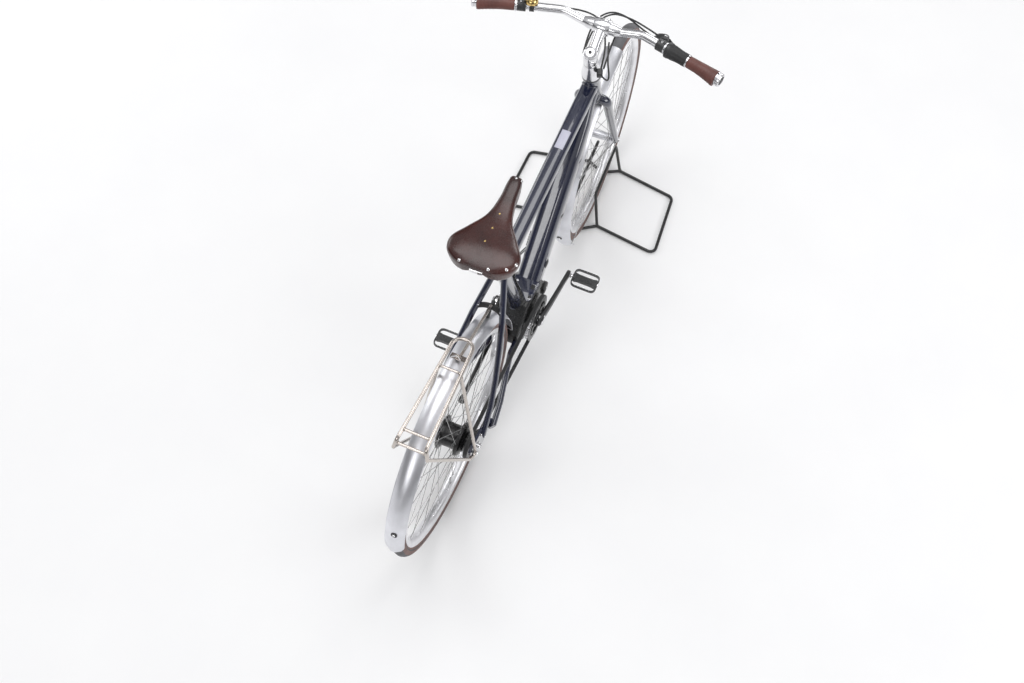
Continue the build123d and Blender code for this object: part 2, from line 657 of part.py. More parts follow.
def stand_rods(corners, bend):
    """A rod through corners counted from the front wheel's middle, turned to the stand's place."""
    path = [(FRONT_X + x, y, z) for x, y, z in corners]
    body = bent(path, bend, STAND_R) if bend else rod(path[0], path[-1], STAND_R)
    return body.rotate(Axis((FRONT_X, 0, 0), (0, 0, 1)), STAND_YAW)


def stand_feet():
    """A loop of rod on the floor either side of the front wheel, tied across by two bent rods."""
    low = STAND_R
    feet = []
    for side in (1, -1):
        front, rear = (STAND_FRONT, side * STAND_OUT, low), (STAND_REAR, side * STAND_OUT, low)
        feet.append(stand_rods([rear, (-133, side * 268, low), (106, side * 258, low), front], 20))
        feet.append(stand_rods([front, (STAND_FRONT - 28, 0, low)], 0))
        feet.append(stand_rods([rear, (STAND_REAR - 37, 0, low)], 0))
    for x in (STAND_FRONT, STAND_REAR):
        for y in (STAND_OUT, -STAND_OUT):
            joint = Pos(FRONT_X + x, y, low) * Sphere(STAND_R)
            feet.append(joint.rotate(Axis((FRONT_X, 0, 0), (0, 0, 1)), STAND_YAW))
    body = feet[0]
    for extra in feet[1:]:
        body = body + extra
    return body


def stand_hoop(side):
    """One of the two hoops that hold the tyre between them."""
    gap = TYRE_W / 2 + 5.5 + STAND_R
    front, rear = (STAND_FRONT, side * STAND_OUT, STAND_R), (STAND_REAR, side * STAND_OUT, STAND_R)
    return stand_rods([rear, (-80, side * gap, STAND_HIGH), (130, side * gap, STAND_HIGH), front], 14)


# ---- front fork and what turns with it ----
def fork():
    """Two tapered legs under a crown, with the steerer above and a tip with its slot at each foot."""
    body = HEAD * Pos(0, 0, CROWN_LOW) * extrude(Circle(CROWN_R), CROWN_TOP - CROWN_LOW)
    body += HEAD * Pos(0, 0, CROWN_LOW + 8) * extrude(RectangleRounded(34, 118, 15), 9)
    body += HEAD * Pos(0, 0, CROWN_TOP) * extrude(Circle(STEERER_R), STEM_TOP - CROWN_TOP)
    for side in (1, -1):
        top = HEAD.from_local_coords(Vector(0, side * 46, 374))
        foot = HEAD.from_local_coords(Vector(32, side * 53, 28))
        y_high = FRONT_OLD / 2 + FORK_TIP if side > 0 else -FRONT_OLD / 2
        tip = Pos(36, 13) * SlotCenterToCenter(32, 24, rotation=100)
        body += taper(top, foot, 14, 8.5) + HEAD * Pos(0, y_high, 0) * Rot(90, 0, 0) * extrude(tip, FORK_TIP)
    body -= disc_y(FRONT_HUB, MUDGUARD_R + MUDGUARD_CROWN, -MUDGUARD_HALF_W - 1, MUDGUARD_HALF_W + 1)
    return body - disc_y(FRONT_HUB, AXLE_R, -70, 70)


def headset_cone():
    height = CONE_TOP - CUP_TOP - GAP
    body = Cone(27, 17.5, height, align=(Align.CENTER, Align.CENTER, Align.MIN))
    return HEAD * Pos(0, 0, CUP_TOP + GAP) * body - HEAD * Pos(0, 0, 550) * Cylinder(STEERER_R, 200)


def cable_guide():
    entry = HEAD * Pos(-13, -29, 582) * Rot(0, 0, 20) * Box(20, 16, 20)
    return fillet(entry.edges(), 3) - headset_cone()


def front_mudguard_stays(side):
    """Two thin rods from a bolt at the fork's tip to the edge of the front mudguard."""
    foot = HEAD.from_local_coords(Vector(40, side * 58.5, 16))
    bolt = (HEAD.from_local_coords(Vector(40, side * 56, 16)), HEAD.from_local_coords(Vector(40, side * 62, 16)))
    body = rod(*bolt, 5)
    for degrees in (150, 205):
        end = rim_point(FRONT_HUB, MUDGUARD_R - 4, degrees, side * (MUDGUARD_HALF_W + MUDGUARD_WALL))
        body += rod(foot, end, 1.8)
    return body - mudguard(FRONT_HUB, *FRONT_GUARD_SPAN) - fork()


def axle(hub, nut_from, reach):
    """A wheel's axle with a nut outside each dropout."""
    body = disc_y(hub, AXLE_R, -reach, reach)
    for side in (1, -1):
        body += disc_y(hub, AXLE_NUT_R, side * nut_from, side * (reach - AXLE_PROUD))
    return body


# ---- write the sub-parts ----
os.makedirs("parts", exist_ok=True)

save("fork", steered(fork()))
save("headset_cone", steered(headset_cone()))
save("cable_guide", steered(cable_guide()))
save("stem", on_bars(stem()))
save("handlebar", on_bars(handlebar()))
save("grip_left", on_bars(grip(1, 232)))
save("grip_right", on_bars(grip(-1, 246)))
save("grip_rings", *[on_bars(shape) for shape in grip_rings()])
save("twist_shifter", on_bars(sleeve(-1, 192, 242, 21.5, 18) - bar_bore(-1)))
left_clamp = lever_clamp(1, 204, 226)
right_clamp = lever_clamp(-1, 154, 176)
save("lever_clamps", on_bars(left_clamp), on_bars(right_clamp))
save("brake_lever_left", on_bars(lever_blade(1, 206) - left_clamp))
save("brake_lever_right", on_bars(lever_blade(-1, 172) - right_clamp))
save("bell", on_bars(bell()))
beside_cables = on_bars(left_clamp + right_clamp + stem() + handlebar())
beside_cables += steered(cable_guide() + headset_cone())
save("control_cables", *[cable - beside_cables for cable in control_cables()])

save("front_mudguard", steered(mudguard(FRONT_HUB, *FRONT_GUARD_SPAN)))
save("front_mudguard_stays", steered(front_mudguard_stays(1)), steered(front_mudguard_stays(-1)))
save("front_axle", steered(axle(FRONT_HUB, FRONT_OLD / 2 + FORK_TIP, 64)))
feet = stand_feet()
save("stand_feet", feet)
save("stand_hoops", stand_hoop(1) - feet, stand_hoop(-1) - feet)

save("front_tyre", steered(tyre(FRONT_HUB)))
save("front_rim", steered(rim(FRONT_HUB)))
front_shell = hub_shell(FRONT_HUB_OUTLINE, FRONT_HUB)
save("front_spokes", *[steered(wire) for wire in spokes(FRONT_HUB, front_shell, 32.8, 19, 2.4, 58)])
save("front_hub", steered(front_shell))

save("rear_tyre", tyre(REAR_HUB))
save("rear_rim", rim(REAR_HUB))
rear_shell = hub_shell(REAR_HUB_OUTLINE, REAR_HUB)
save("rear_spokes", *spokes(REAR_HUB, rear_shell, 25.2, 44, 2.8, 40))
save("rear_hub", rear_shell)
save("rear_belt_wheel", belt_wheel(REAR_TEETH, 14, REAR_HUB))

save("head_tube", ring(HEAD_TUBE_R, 22, HEAD_LOW, HEAD_TOP, HEAD))
low_cup = ring(CUP_R, STEERER_R + PLAY, CROWN_TOP + GAP, HEAD_LOW, HEAD)
high_cup = ring(CUP_R, STEERER_R + PLAY, HEAD_TOP, CUP_TOP, HEAD)
save("headset_cups", low_cup, high_cup)
down = down_tube()
save("down_tube", down)
save("top_tube", top_tube() - down - high_cup - seat_clamp())
save("seat_tube", seat_tube() - down)
save("seat_stays", seat_stay(1), seat_stay(-1))
save("chain_stays", chain_stay(1), chain_stay(-1))
save("dropouts", dropout(1), dropout(-1))
save("stay_bridge", stay_bridge())
save("drive_motor", drive_motor() - down)
save("seat_clamp", seat_clamp())
save("seat_post", seat_post())
save("saddle_leather", saddle_leather() - saddle_rails())
save("saddle_rails", saddle_rails())
rear_guard = mudguard(REAR_HUB, *REAR_GUARD_SPAN)
save("rear_mudguard", rear_guard)
platform = rack_platform()
save("rack_platform", platform)
save("rack_tie", rack_tie() - stay_bridge() - rear_guard)
front_struts = [rack_strut_front(side) - platform - dropout(side) for side in (1, -1)]
save("rack_struts_front", *front_struts)
rear_struts = [rack_strut_rear(side) - platform - rack_strut_front(side) for side in (1, -1)]
save("rack_struts_rear", *rear_struts)
save("kickstand", kickstand())
save("kickstand_mount", kickstand_mount())
save("drive_belt", belt())
save("rear_axle", axle(REAR_HUB, REAR_OLD / 2 + DROPOUT, 86))

save("crank_spindle", disc_y(BB, SPINDLE_R, -80, 80))
save("crank_right", crank(-1))
save("crank_left", crank(1))
save("front_belt_wheel", belt_wheel(FRONT_TEETH, SPINDLE_R, BB))
save("pedal_right", pedal(-1))
save("pedal_left", pedal(1))
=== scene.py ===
# %% [markdown]
# # An electric city bicycle in Blender
# The bicycle was first drawn as solids with real joints, and this script dresses those solids.
# Everything is in metres inside Blender, but a maker thinks in millimetres, so the helpers take
# millimetres and change them at the last moment.

# %% Load the solids
import json
import math

import bmesh
import bpy
from mathutils import Matrix, Vector


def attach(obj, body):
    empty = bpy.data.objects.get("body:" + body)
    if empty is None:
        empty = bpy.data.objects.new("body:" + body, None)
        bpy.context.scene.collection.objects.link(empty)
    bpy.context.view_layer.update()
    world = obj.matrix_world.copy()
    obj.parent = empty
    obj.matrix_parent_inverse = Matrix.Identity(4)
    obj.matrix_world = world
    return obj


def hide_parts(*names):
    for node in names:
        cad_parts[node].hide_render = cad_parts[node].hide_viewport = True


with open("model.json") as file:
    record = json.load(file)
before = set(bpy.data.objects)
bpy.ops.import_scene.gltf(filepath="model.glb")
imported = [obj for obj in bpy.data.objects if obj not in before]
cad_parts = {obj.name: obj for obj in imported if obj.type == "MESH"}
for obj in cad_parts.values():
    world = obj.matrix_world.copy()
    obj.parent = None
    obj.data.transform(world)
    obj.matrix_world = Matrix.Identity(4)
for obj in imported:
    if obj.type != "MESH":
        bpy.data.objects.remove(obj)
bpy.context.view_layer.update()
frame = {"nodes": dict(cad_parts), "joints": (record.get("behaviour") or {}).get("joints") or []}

MM = 0.001
NODES = frame["nodes"]
JOINTS = {joint["name"]: joint for joint in frame["joints"]}
print("solids:", len(NODES), "joints:", sorted(JOINTS))

# %% [markdown]
# ## Places
# A bicycle has four lines that carry everything: the floor under each wheel, the steering axis, the
# seat tube's axis and the bar's outer lengths. Giving each its own small function keeps the numbers
# below as a frame builder would say them, such as 350 above the rear wheel's foot.
# At rest the wheel is steered a little to the left and the bar a little less. Pieces in front are
# drawn straight ahead, and one matrix for each turns them when they are finished.

# %% The axes
REAR_HUB = Vector(JOINTS["rear_wheel_spin"]["pos_m"])
BB = Vector(JOINTS["crank_turn"]["pos_m"])
HEAD_PIVOT = Vector(JOINTS["steering"]["pos_m"])
HEAD_UP = Vector(JOINTS["steering"]["axis"]).normalized()
HEAD_AHEAD = Vector((HEAD_UP.z, 0, -HEAD_UP.x))
SEAT_ANGLE = math.radians(72.5)
SEAT_UP = Vector((-math.cos(SEAT_ANGLE), 0, math.sin(SEAT_ANGLE)))
SEAT_AHEAD = Vector((math.sin(SEAT_ANGLE), 0, math.cos(SEAT_ANGLE)))
LEFT = Vector((0, 1, 0))
UP = Vector((0, 0, 1))


def turned_about(place, axis, degrees):
    """The matrix of a turn about an axis through a place."""
    there = Matrix.Translation(place)
    return there @ Matrix.Rotation(math.radians(degrees), 4, axis) @ there.inverted()


WHEEL_DEGREES, BAR_DEGREES = 2.4, 0.9
FORK_OFFSET = 40
STEER = turned_about(HEAD_PIVOT, HEAD_UP, WHEEL_DEGREES)
BAR_TURN = turned_about(HEAD_PIVOT, HEAD_UP, BAR_DEGREES)
FRONT_HUB = STEER.inverted() @ Vector(JOINTS["front_wheel_spin"]["pos_m"])
HEAD_FOOT = FRONT_HUB - HEAD_AHEAD * FORK_OFFSET * MM
print("wheelbase in mm:", round((FRONT_HUB.x - REAR_HUB.x) / MM))


# %% Places along the axes
def rear(x, y, z):
    """x ahead of the rear wheel's foot, y to the left, z above the floor."""
    return Vector((REAR_HUB.x + x * MM, y * MM, z * MM))


def front(x, y, z):
    """x ahead of the front wheel's foot, y to the left, z above the floor."""
    return Vector((FRONT_HUB.x + x * MM, y * MM, z * MM))


def head(x, y, z):
    """x ahead of the steering axis, y to the left, z up along it."""
    return HEAD_FOOT + (HEAD_AHEAD * x + LEFT * y + HEAD_UP * z) * MM


def seat(x, y, z):
    """x ahead of the seat tube's axis, y to the left, z up along it from the cranks."""
    return BB + (SEAT_AHEAD * x + LEFT * y + SEAT_UP * z) * MM


def circle(centre, radius, degrees, y=0.0):
    """A place on a wheel's circle, counted from straight ahead and upwards."""
    turn = math.radians(degrees)
    return centre + Vector((radius * math.cos(turn), y, radius * math.sin(turn))) * MM


# %% [markdown]
# ## Camera, lights and floor
# The bicycle stands on pale paper under large soft lamps, and is seen from behind and well above. A
# long list of small lamps would make many small highlights, so five wide area lamps do the work, and
# a world that is pale overhead and dark toward its walls gives the bright metal its dark edges.

# %% Camera
def view_matrix(place, azimuth, downward, leaning):
    """Where a camera stands, which way it looks, and how far it leans."""
    az, el, lean = math.radians(azimuth), math.radians(downward), math.radians(leaning)
    ahead = Vector((math.cos(az) * math.cos(el), math.sin(az) * math.cos(el), -math.sin(el)))
    right = Vector((math.sin(az), -math.cos(az), 0))
    upward = right.cross(ahead)
    leaning_right = right * math.cos(lean) + upward * math.sin(lean)
    leaning_up = upward * math.cos(lean) - right * math.sin(lean)
    axes = Matrix((leaning_right, leaning_up, -ahead)).transposed().to_4x4()
    return Matrix.Translation(place) @ axes


bpy.ops.object.select_all(action="DESELECT")
bpy.ops.object.camera_add()
camera = bpy.context.object
camera.name = "camera"
camera.data.lens = 40.39
camera.data.sensor_width = 36.0
camera.data.clip_start = 0.05
camera.data.clip_end = 60.0
CAMERA_PLACE = Vector((-1.6381, -0.5596, 3.2309))
AZIMUTH, DOWNWARD, LEAN = 20.302, 62.334, 3.354
camera.matrix_world = view_matrix(CAMERA_PLACE, AZIMUTH, DOWNWARD, LEAN)
bpy.context.scene.camera = camera
bpy.context.scene.view_settings.view_transform = "Standard"
print("camera lens:", camera.data.lens)


# %% Lamps
def area_lamp(name, place, target, size, power):
    """A wide rectangular lamp that faces its target."""
    aim = (Vector(target) - Vector(place)).to_track_quat("-Z", "Y")
    bpy.ops.object.light_add(type="AREA", location=place, rotation=aim.to_euler())
    lamp = bpy.context.object
    lamp.name = name
    lamp.data.shape = "RECTANGLE"
    lamp.data.size, lamp.data.size_y = size
    lamp.data.energy = power


area_lamp("lamp_above", (0.2, 0.3, 4.6), (0, 0, 0), (3.6, 2.6), 76)
area_lamp("lamp_left", (0.9, 4.2, 2.2), (0, 0, 0.4), (3.0, 1.6), 50)
area_lamp("lamp_right", (-0.2, -4.4, 2.4), (0, 0, 0.4), (3.4, 1.6), 68)
area_lamp("lamp_behind", (-4.6, 0.6, 3.0), (0, 0, 0.5), (2.6, 1.4), 43)
area_lamp("lamp_ahead", (4.8, -0.6, 2.6), (0, 0, 0.5), (2.6, 1.4), 43)


# %% World
def feed(tree, socket, value):
    """Links a value to a socket, or sets it there. A plain colour is given its alpha."""
    if isinstance(value, bpy.types.NodeSocket):
        tree.links.new(value, socket)
    else:
        socket.default_value = (*value, 1) if socket.type == "RGBA" else value


def node(tree, kind, inputs=None, **settings):
    """A new node with its settings made and its inputs set or linked."""
    made = tree.nodes.new("ShaderNode" + kind)
    for key, value in settings.items():
        setattr(made, key, value)
    for key, value in (inputs or {}).items():
        feed(tree, made.inputs[key], value)
    return made


def studio_world():
    """Pale overhead, a bright band at the tops of its walls, and darker below."""
    world = bpy.data.worlds.new("studio")
    bpy.context.scene.world = world
    world.use_nodes = True
    tree = world.node_tree
    where = node(tree, "TexCoord").outputs["Generated"]
    height = node(tree, "SeparateXYZ", {0: where}).outputs["Z"]
    ramp = node(tree, "ValToRGB", {0: height})
    levels = ((0.0, 0.30), (0.12, 0.16), (0.30, 0.10), (0.46, 0.55), (0.62, 0.95), (0.80, 0.62), (1.0, 0.80))
    for n, (at, level) in enumerate(levels):
        stop = ramp.color_ramp.elements[n] if n < 2 else ramp.color_ramp.elements.new(at)
        stop.position = at
        stop.color = (level, level, level * 1.02, 1)
    tree.links.new(ramp.outputs[0], tree.nodes["Background"].inputs["Color"])
    tree.nodes["Background"].inputs["Strength"].default_value = 0.65


studio_world()

# %% [markdown]
# ## Finishes
# Paint, rubber, leather and buffed metal all share a few effects: a colour that drifts a little, edges
# rubbed paler by hands and tools, a gloss that is never quite even, and a grain too fine to model.
# Each effect is one node group with named sockets, placed in every material with its own values, so
# that one change improves them all.

# %% Node groups for the shared effects
SOCKET_KINDS = {"Vector": "Vector", "Dark": "Color", "Light": "Color", "Colour": "Color"}


def new_group(name, inputs, outputs):
    """A node group with its sockets, numbers unless listed above, and the nodes that bring them inside."""
    group = bpy.data.node_groups.new(name, "ShaderNodeTree")
    for way, labels in (("INPUT", inputs), ("OUTPUT", outputs)):
        for label in labels:
            kind = "NodeSocket" + SOCKET_KINDS.get(label, "Float")
            group.interface.new_socket(label, in_out=way, socket_type=kind)
    return group, group.nodes.new("NodeGroupInput").outputs, group.nodes.new("NodeGroupOutput").inputs


def calc(tree, operation, a, b=0.0):
    """One step of arithmetic on two values."""
    return node(tree, "Math", {0: a, 1: b}, operation=operation).outputs[0]


def span(tree, value, low, high, start=0.3, end=0.7):
    """A value's range from start to end carried over to low to high."""
    inputs = {"Value": value, "From Min": start, "From Max": end, "To Min": low, "To Max": high}
    return node(tree, "MapRange", inputs).outputs["Result"]


def noise(tree, vector, scale, detail=4.0, rough=0.55):
    """Soft noise at so many cells to the metre."""
    inputs = {"Vector": vector, "Scale": scale, "Detail": detail, "Roughness": rough}
    return node(tree, "TexNoise", inputs).outputs["Fac"]


def blend(tree, factor, first, second):
    """A colour between two others. A Mix node keeps its colour sockets at 6, 7 and 2."""
    return node(tree, "Mix", {0: factor, 6: first, 7: second}, data_type="RGBA").outputs[2]


def drift_group():
    """A colour that wanders between a dark and a light one."""
    group, given, wanted = new_group("colour_drift", ["Vector", "Scale", "Dark", "Light"], ["Colour"])
    cloud = span(group, noise(group, given["Vector"], given["Scale"], 5.0), 0, 1)
    group.links.new(blend(group, cloud, given["Dark"], given["Light"]), wanted["Colour"])
    return group


def wear_group():
    """A mask of the raised edges, broken up as rubbing leaves them."""
    group, given, wanted = new_group("edge_wear", ["Vector", "Amount"], ["Mask"])
    edge = span(group, node(group, "NewGeometry").outputs["Pointiness"], 0, 1, 0.51, 0.6)
    patches = span(group, noise(group, given["Vector"], 220), 0.1, 0.9)
    mask = calc(group, "MULTIPLY", calc(group, "MULTIPLY", edge, patches), given["Amount"])
    group.links.new(mask, wanted["Mask"])
    return group


def gloss_group():
    """A roughness that drifts between two values."""
    group, given, wanted = new_group("uneven_gloss", ["Vector", "Scale", "Low", "High"], ["Roughness"])
    cloud = noise(group, given["Vector"], given["Scale"], 5.0, 0.65)
    group.links.new(span(group, cloud, given["Low"], given["High"]), wanted["Roughness"])
    return group


def grain_group():
    """The height of a fine grain, for a bump node."""
    group, given, wanted = new_group("fine_grain", ["Vector", "Scale"], ["Height"])
    group.links.new(noise(group, given["Vector"], given["Scale"], 3.0), wanted["Height"])
    return group


def polar_group():
    """The angle round the Y axis, the distance from it and the place along it."""
    group, given, wanted = new_group("round_the_axle", ["Vector"], ["Angle", "Radius", "Along"])
    parts = node(group, "SeparateXYZ", {0: given["Vector"]}).outputs
    squares = [calc(group, "MULTIPLY", parts[key], parts[key]) for key in "XZ"]
    group.links.new(calc(group, "ARCTAN2", parts["Z"], parts["X"]), wanted["Angle"])
    group.links.new(calc(group, "SQRT", calc(group, "ADD", *squares)), wanted["Radius"])
    group.links.new(parts["Y"], wanted["Along"])
    return group


GROUPS = {"drift": drift_group(), "wear": wear_group(), "gloss": gloss_group(), "grain": grain_group(),
          "polar": polar_group()}
print("node groups:", ", ".join(sorted(GROUPS)))


# %% A general finish made from the groups
def group_node(tree, key, **inputs):
    """One of the node groups, placed in a material with its own values."""
    made = tree.nodes.new("ShaderNodeGroup")
    made.node_tree = GROUPS[key]
    for label, value in inputs.items():
        feed(tree, made.inputs[label.capitalize()], value)
    return made.outputs


def bump(tree, height, strength, depth, under=None):
    """Relief from a height, depth in millimetres, laid over another relief if there is one."""
    inputs = {"Height": height, "Strength": strength, "Distance": depth * MM}
    if under is not None:
        inputs["Normal"] = under
    return node(tree, "Bump", inputs).outputs["Normal"]


def where_on(tree, scale=(1, 1, 1)):
    """The piece's own coordinates in metres, stretched if asked."""
    source = node(tree, "TexCoord").outputs["Object"]
    return node(tree, "Mapping", {"Vector": source, "Scale": scale}).outputs["Vector"]


def finish(name, dark, light, rough, grain, depth, wear=0.4, worn=(0.16, 0.16, 0.165), metal=0.0, drift=25.0,
           **plain):
    """A material with drifting colour, rubbed edges, uneven gloss and fine grain, and its coordinates."""
    material = bpy.data.materials.new(name)
    material.use_nodes = True
    tree = material.node_tree
    shader = tree.nodes["Principled BSDF"]
    shader.inputs["Metallic"].default_value = metal
    for label, value in plain.items():
        shader.inputs[label.replace("_", " ")].default_value = value
    where = where_on(tree)
    colour = group_node(tree, "drift", vector=where, scale=drift, dark=dark, light=light)["Colour"]
    mask = group_node(tree, "wear", vector=where, amount=wear)["Mask"]
    tree.links.new(blend(tree, mask, colour, worn), shader.inputs["Base Color"])
    gloss = group_node(tree, "gloss", vector=where, scale=90.0, low=rough[0], high=rough[1])["Roughness"]
    tree.links.new(gloss, shader.inputs["Roughness"])
    height = group_node(tree, "grain", vector=where, scale=grain)["Height"]
    relief = bump(tree, height, 0.16, depth)
    tree.links.new(relief, shader.inputs["Normal"])
    return material, where


def over(material, label, lay):
    """Lays one more effect over what already feeds an input of the material's shader."""
    tree = material.node_tree
    socket = tree.nodes["Principled BSDF"].inputs[label]
    tree.links.new(lay(tree, socket.links[0].from_socket), socket)


def over_colour(material, factor, colour):
    over(material, "Base Color", lambda tree, under: blend(tree, factor, under, colour))


def over_relief(material, height, strength, depth):
    over(material, "Normal", lambda tree, under: bump(tree, height, strength, depth, under))


# %% [markdown]
# The blacks and rubbers differ only in depth, gloss and grain, so the general finish makes them all.

# %% Blacks, rubbers and the blank label
def black(name, level, rough, grain, depth, **plain):
    """A black with paler rubbed edges."""
    return finish(name, (level * 0.75,) * 3, (level * 1.35, level * 1.35, level * 1.45), rough, grain, depth,
                  **plain)[0]


BLACK = black("black_metal", 0.013, (0.26, 0.4), 1500.0, 0.06)
CASTING = black("black_casting", 0.008, (0.2, 0.36), 900.0, 0.2)
PLASTIC = black("black_plastic", 0.018, (0.38, 0.55), 700.0, 0.18)
RUBBER = black("black_rubber", 0.02, (0.5, 0.72), 900.0, 0.3)
BELT_RUBBER = black("belt_rubber", 0.016, (0.45, 0.62), 1200.0, 0.2)
CABLE = black("cable_black", 0.012, (0.3, 0.45), 1600.0, 0.05)
TREAD = black("tyre_tread", 0.12, (0.6, 0.8), 900.0, 0.4, worn=(0.20, 0.20, 0.20))
LABEL = finish("blank_label", (0.50, 0.50, 0.60), (0.60, 0.60, 0.70), (0.3, 0.4), 900.0, 0.1)[0]

# %% [markdown]
# The frame's paint is a deep navy under clear lacquer, with a metallic flake so fine that it is only
# seen as a sparkle. A Voronoi texture picks a few cells in a hundred for the flake, and the lacquer is
# the shader's own coat.

# %% Navy paint
def navy_paint():
    material, where = finish("navy_paint", (0.008, 0.011, 0.030), (0.017, 0.021, 0.052), (0.16, 0.28), 420.0,
                             0.02, 0.3, (0.10, 0.11, 0.15), drift=7.0, Coat_Weight=1.0, Coat_Roughness=0.03,
                             Coat_IOR=1.7)
    tree = material.node_tree
    cell = node(tree, "TexVoronoi", {"Vector": where, "Scale": 2600.0}).outputs["Color"]
    flake = calc(tree, "MULTIPLY", calc(tree, "GREATER_THAN", cell, 0.93), 0.35)
    over_colour(material, flake, (0.09, 0.11, 0.24))
    return material


NAVY = navy_paint()


# %% [markdown]
# Buffed metal shows fine lines in the direction of the wheel that polished it. The same noise,
# stretched a hundred times along one direction, gives both the lines' gloss and their faint relief.

# %% Polished metals
def over_lines(material, lines, rough, strength):
    """Gives a metal the gloss and the faint relief of its brushing lines."""
    tree = material.node_tree
    tree.links.new(span(tree, lines, *rough), tree.nodes["Principled BSDF"].inputs["Roughness"])
    over_relief(material, lines, strength, 0.02)


def polished(name, colour, rough=(0.06, 0.15), stretch=(40, 900, 900)):
    low = tuple(c * 0.84 for c in colour)
    material, _ = finish(name, low, colour, rough, 35.0, 0.01, 0.0, metal=1.0, drift=35.0, Anisotropic=0.2)
    tree = material.node_tree
    lines = group_node(tree, "grain", vector=where_on(tree, stretch), scale=1.0)["Height"]
    over_lines(material, lines, rough, 0.02)
    return material


POLISHED = polished("polished_alloy", (0.84, 0.84, 0.86), (0.17, 0.26))
CHROME = polished("chrome", (0.9, 0.9, 0.91), (0.03, 0.09))
RACK_STEEL = polished("rack_steel", (0.62, 0.57, 0.53), (0.16, 0.28), (300, 300, 300))
WIRE = polished("wire_steel", (0.5, 0.5, 0.5), (0.2, 0.32), (500, 500, 500))
BRASS = polished("brass", (0.78, 0.56, 0.22), (0.1, 0.22), (200, 200, 200))


# %% [markdown]
# Rims, hubs and mudguards are brushed round the axle. Their lines follow the angle round the hub, so
# a Mapping node first moves the pattern's middle to the hub, and for the front wheel turns it with the
# steering. That is why each wheel has its own copy of these finishes.

# %% Finishes that run round the axle
def round_axle(tree, hub, degrees):
    """The polar coordinates about a hub whose axle is turned by so many degrees."""
    source = node(tree, "TexCoord").outputs["Object"]
    placed = {"Vector": source, "Location": hub, "Rotation": (0, 0, math.radians(degrees))}
    vector = node(tree, "Mapping", placed, vector_type="TEXTURE")
    return group_node(tree, "polar", vector=vector.outputs["Vector"])


def brushed_alloy(name, hub, degrees, colour=(0.84, 0.845, 0.885)):
    low, rough = tuple(c * 0.8 for c in colour), (0.34, 0.44)
    material, where = finish(name, low, colour, rough, 160.0, 0.02, 0.0, metal=1.0, drift=14.0)
    tree = material.node_tree
    round_it = round_axle(tree, hub, degrees)
    stretched = {"X": calc(tree, "MULTIPLY", round_it["Angle"], 5.0),
                 "Y": calc(tree, "MULTIPLY", round_it["Radius"], 2600.0),
                 "Z": calc(tree, "MULTIPLY", round_it["Along"], 2600.0)}
    vector = node(tree, "CombineXYZ", stretched).outputs[0]
    lines = group_node(tree, "grain", vector=vector, scale=1.0)["Height"]
    over_lines(material, lines, rough, 0.03)
    marks = span(tree, noise(tree, where, 160.0), 0, 0.12, 0.62, 0.75)
    over_colour(material, marks, (0.5, 0.5, 0.51))
    return material


def tyre_wall(name, hub, degrees):
    """Brown rubber with a thin dark line, through which the casing's threads show in two directions."""
    material, _ = finish(name, (0.125, 0.066, 0.056), (0.21, 0.125, 0.108), (0.5, 0.7), 700.0, 0.1, 0.2,
                         (0.2, 0.14, 0.11), drift=30.0, Specular_IOR_Level=0.35)
    tree = material.node_tree
    round_it = round_axle(tree, hub, degrees)
    threads = []
    for way in (1500.0, -1500.0):
        radial = calc(tree, "MULTIPLY", round_it["Radius"], way)
        slant = calc(tree, "ADD", calc(tree, "MULTIPLY", round_it["Angle"], 520.0), radial)
        threads.append(calc(tree, "SINE", slant))
    weave = calc(tree, "MAXIMUM", *threads)
    over_colour(material, span(tree, weave, 0, 0.25, -0.2, 1.0), (0.26, 0.18, 0.16))
    line_radius, line_half = 0.3245, 0.0016
    away = calc(tree, "ABSOLUTE", calc(tree, "SUBTRACT", round_it["Radius"], line_radius))
    over_colour(material, calc(tree, "LESS_THAN", away, line_half), (0.07, 0.07, 0.075))
    over_relief(material, weave, 0.3, 0.12)
    return material


FRONT_CENTRE = STEER @ FRONT_HUB
FRONT_ALLOY = brushed_alloy("front_alloy", FRONT_CENTRE, WHEEL_DEGREES)
REAR_ALLOY = brushed_alloy("rear_alloy", REAR_HUB, 0)
RIM_COLOUR = (0.92, 0.92, 0.945)
FRONT_RIM = brushed_alloy("front_rim_alloy_finish", FRONT_CENTRE, WHEEL_DEGREES, RIM_COLOUR)
REAR_RIM = brushed_alloy("rear_rim_alloy_finish", REAR_HUB, 0, RIM_COLOUR)
FRONT_WALL = tyre_wall("front_tyre_wall", FRONT_CENTRE, WHEEL_DEGREES)
REAR_WALL = tyre_wall("rear_tyre_wall", REAR_HUB, 0)


# %% [markdown]
# Leather is two scales at once: pores a millimetre apart and creases a centimetre apart. Voronoi
# distances give the pores, and the same texture's cell edges give creases that never repeat, each
# crease darkened along its line as painted shade. Edges that hands and knees rub go paler.

# %% Leather
def leather(name, dark, light, pore, crease, rough, **plain):
    pale = tuple(min(1.0, c * 2.1) for c in light)
    deep = tuple(c * 0.4 for c in dark)
    material, where = finish(name, dark, light, rough, 1400.0, 0.08, 0.3, pale, drift=14.0, **plain)
    tree = material.node_tree
    spots = span(tree, noise(tree, where, 260.0, 5.0, 0.7), 0, 0.22, 0.55, 0.8)
    over_colour(material, spots, deep)
    edges = node(tree, "TexVoronoi", {"Vector": where, "Scale": crease}, feature="DISTANCE_TO_EDGE")
    lines = span(tree, edges.outputs["Distance"], 1, 0, 0.0, 0.06)
    # Painted shade: the crease lines are darkened toward the deep brown, as shade would fall in them.
    over_colour(material, calc(tree, "MULTIPLY", lines, 0.22), deep)
    over_relief(material, lines, 0.10, -0.25)
    pores = node(tree, "TexVoronoi", {"Vector": where, "Scale": pore}).outputs["Distance"]
    over_relief(material, pores, 0.22, 0.22)
    return material


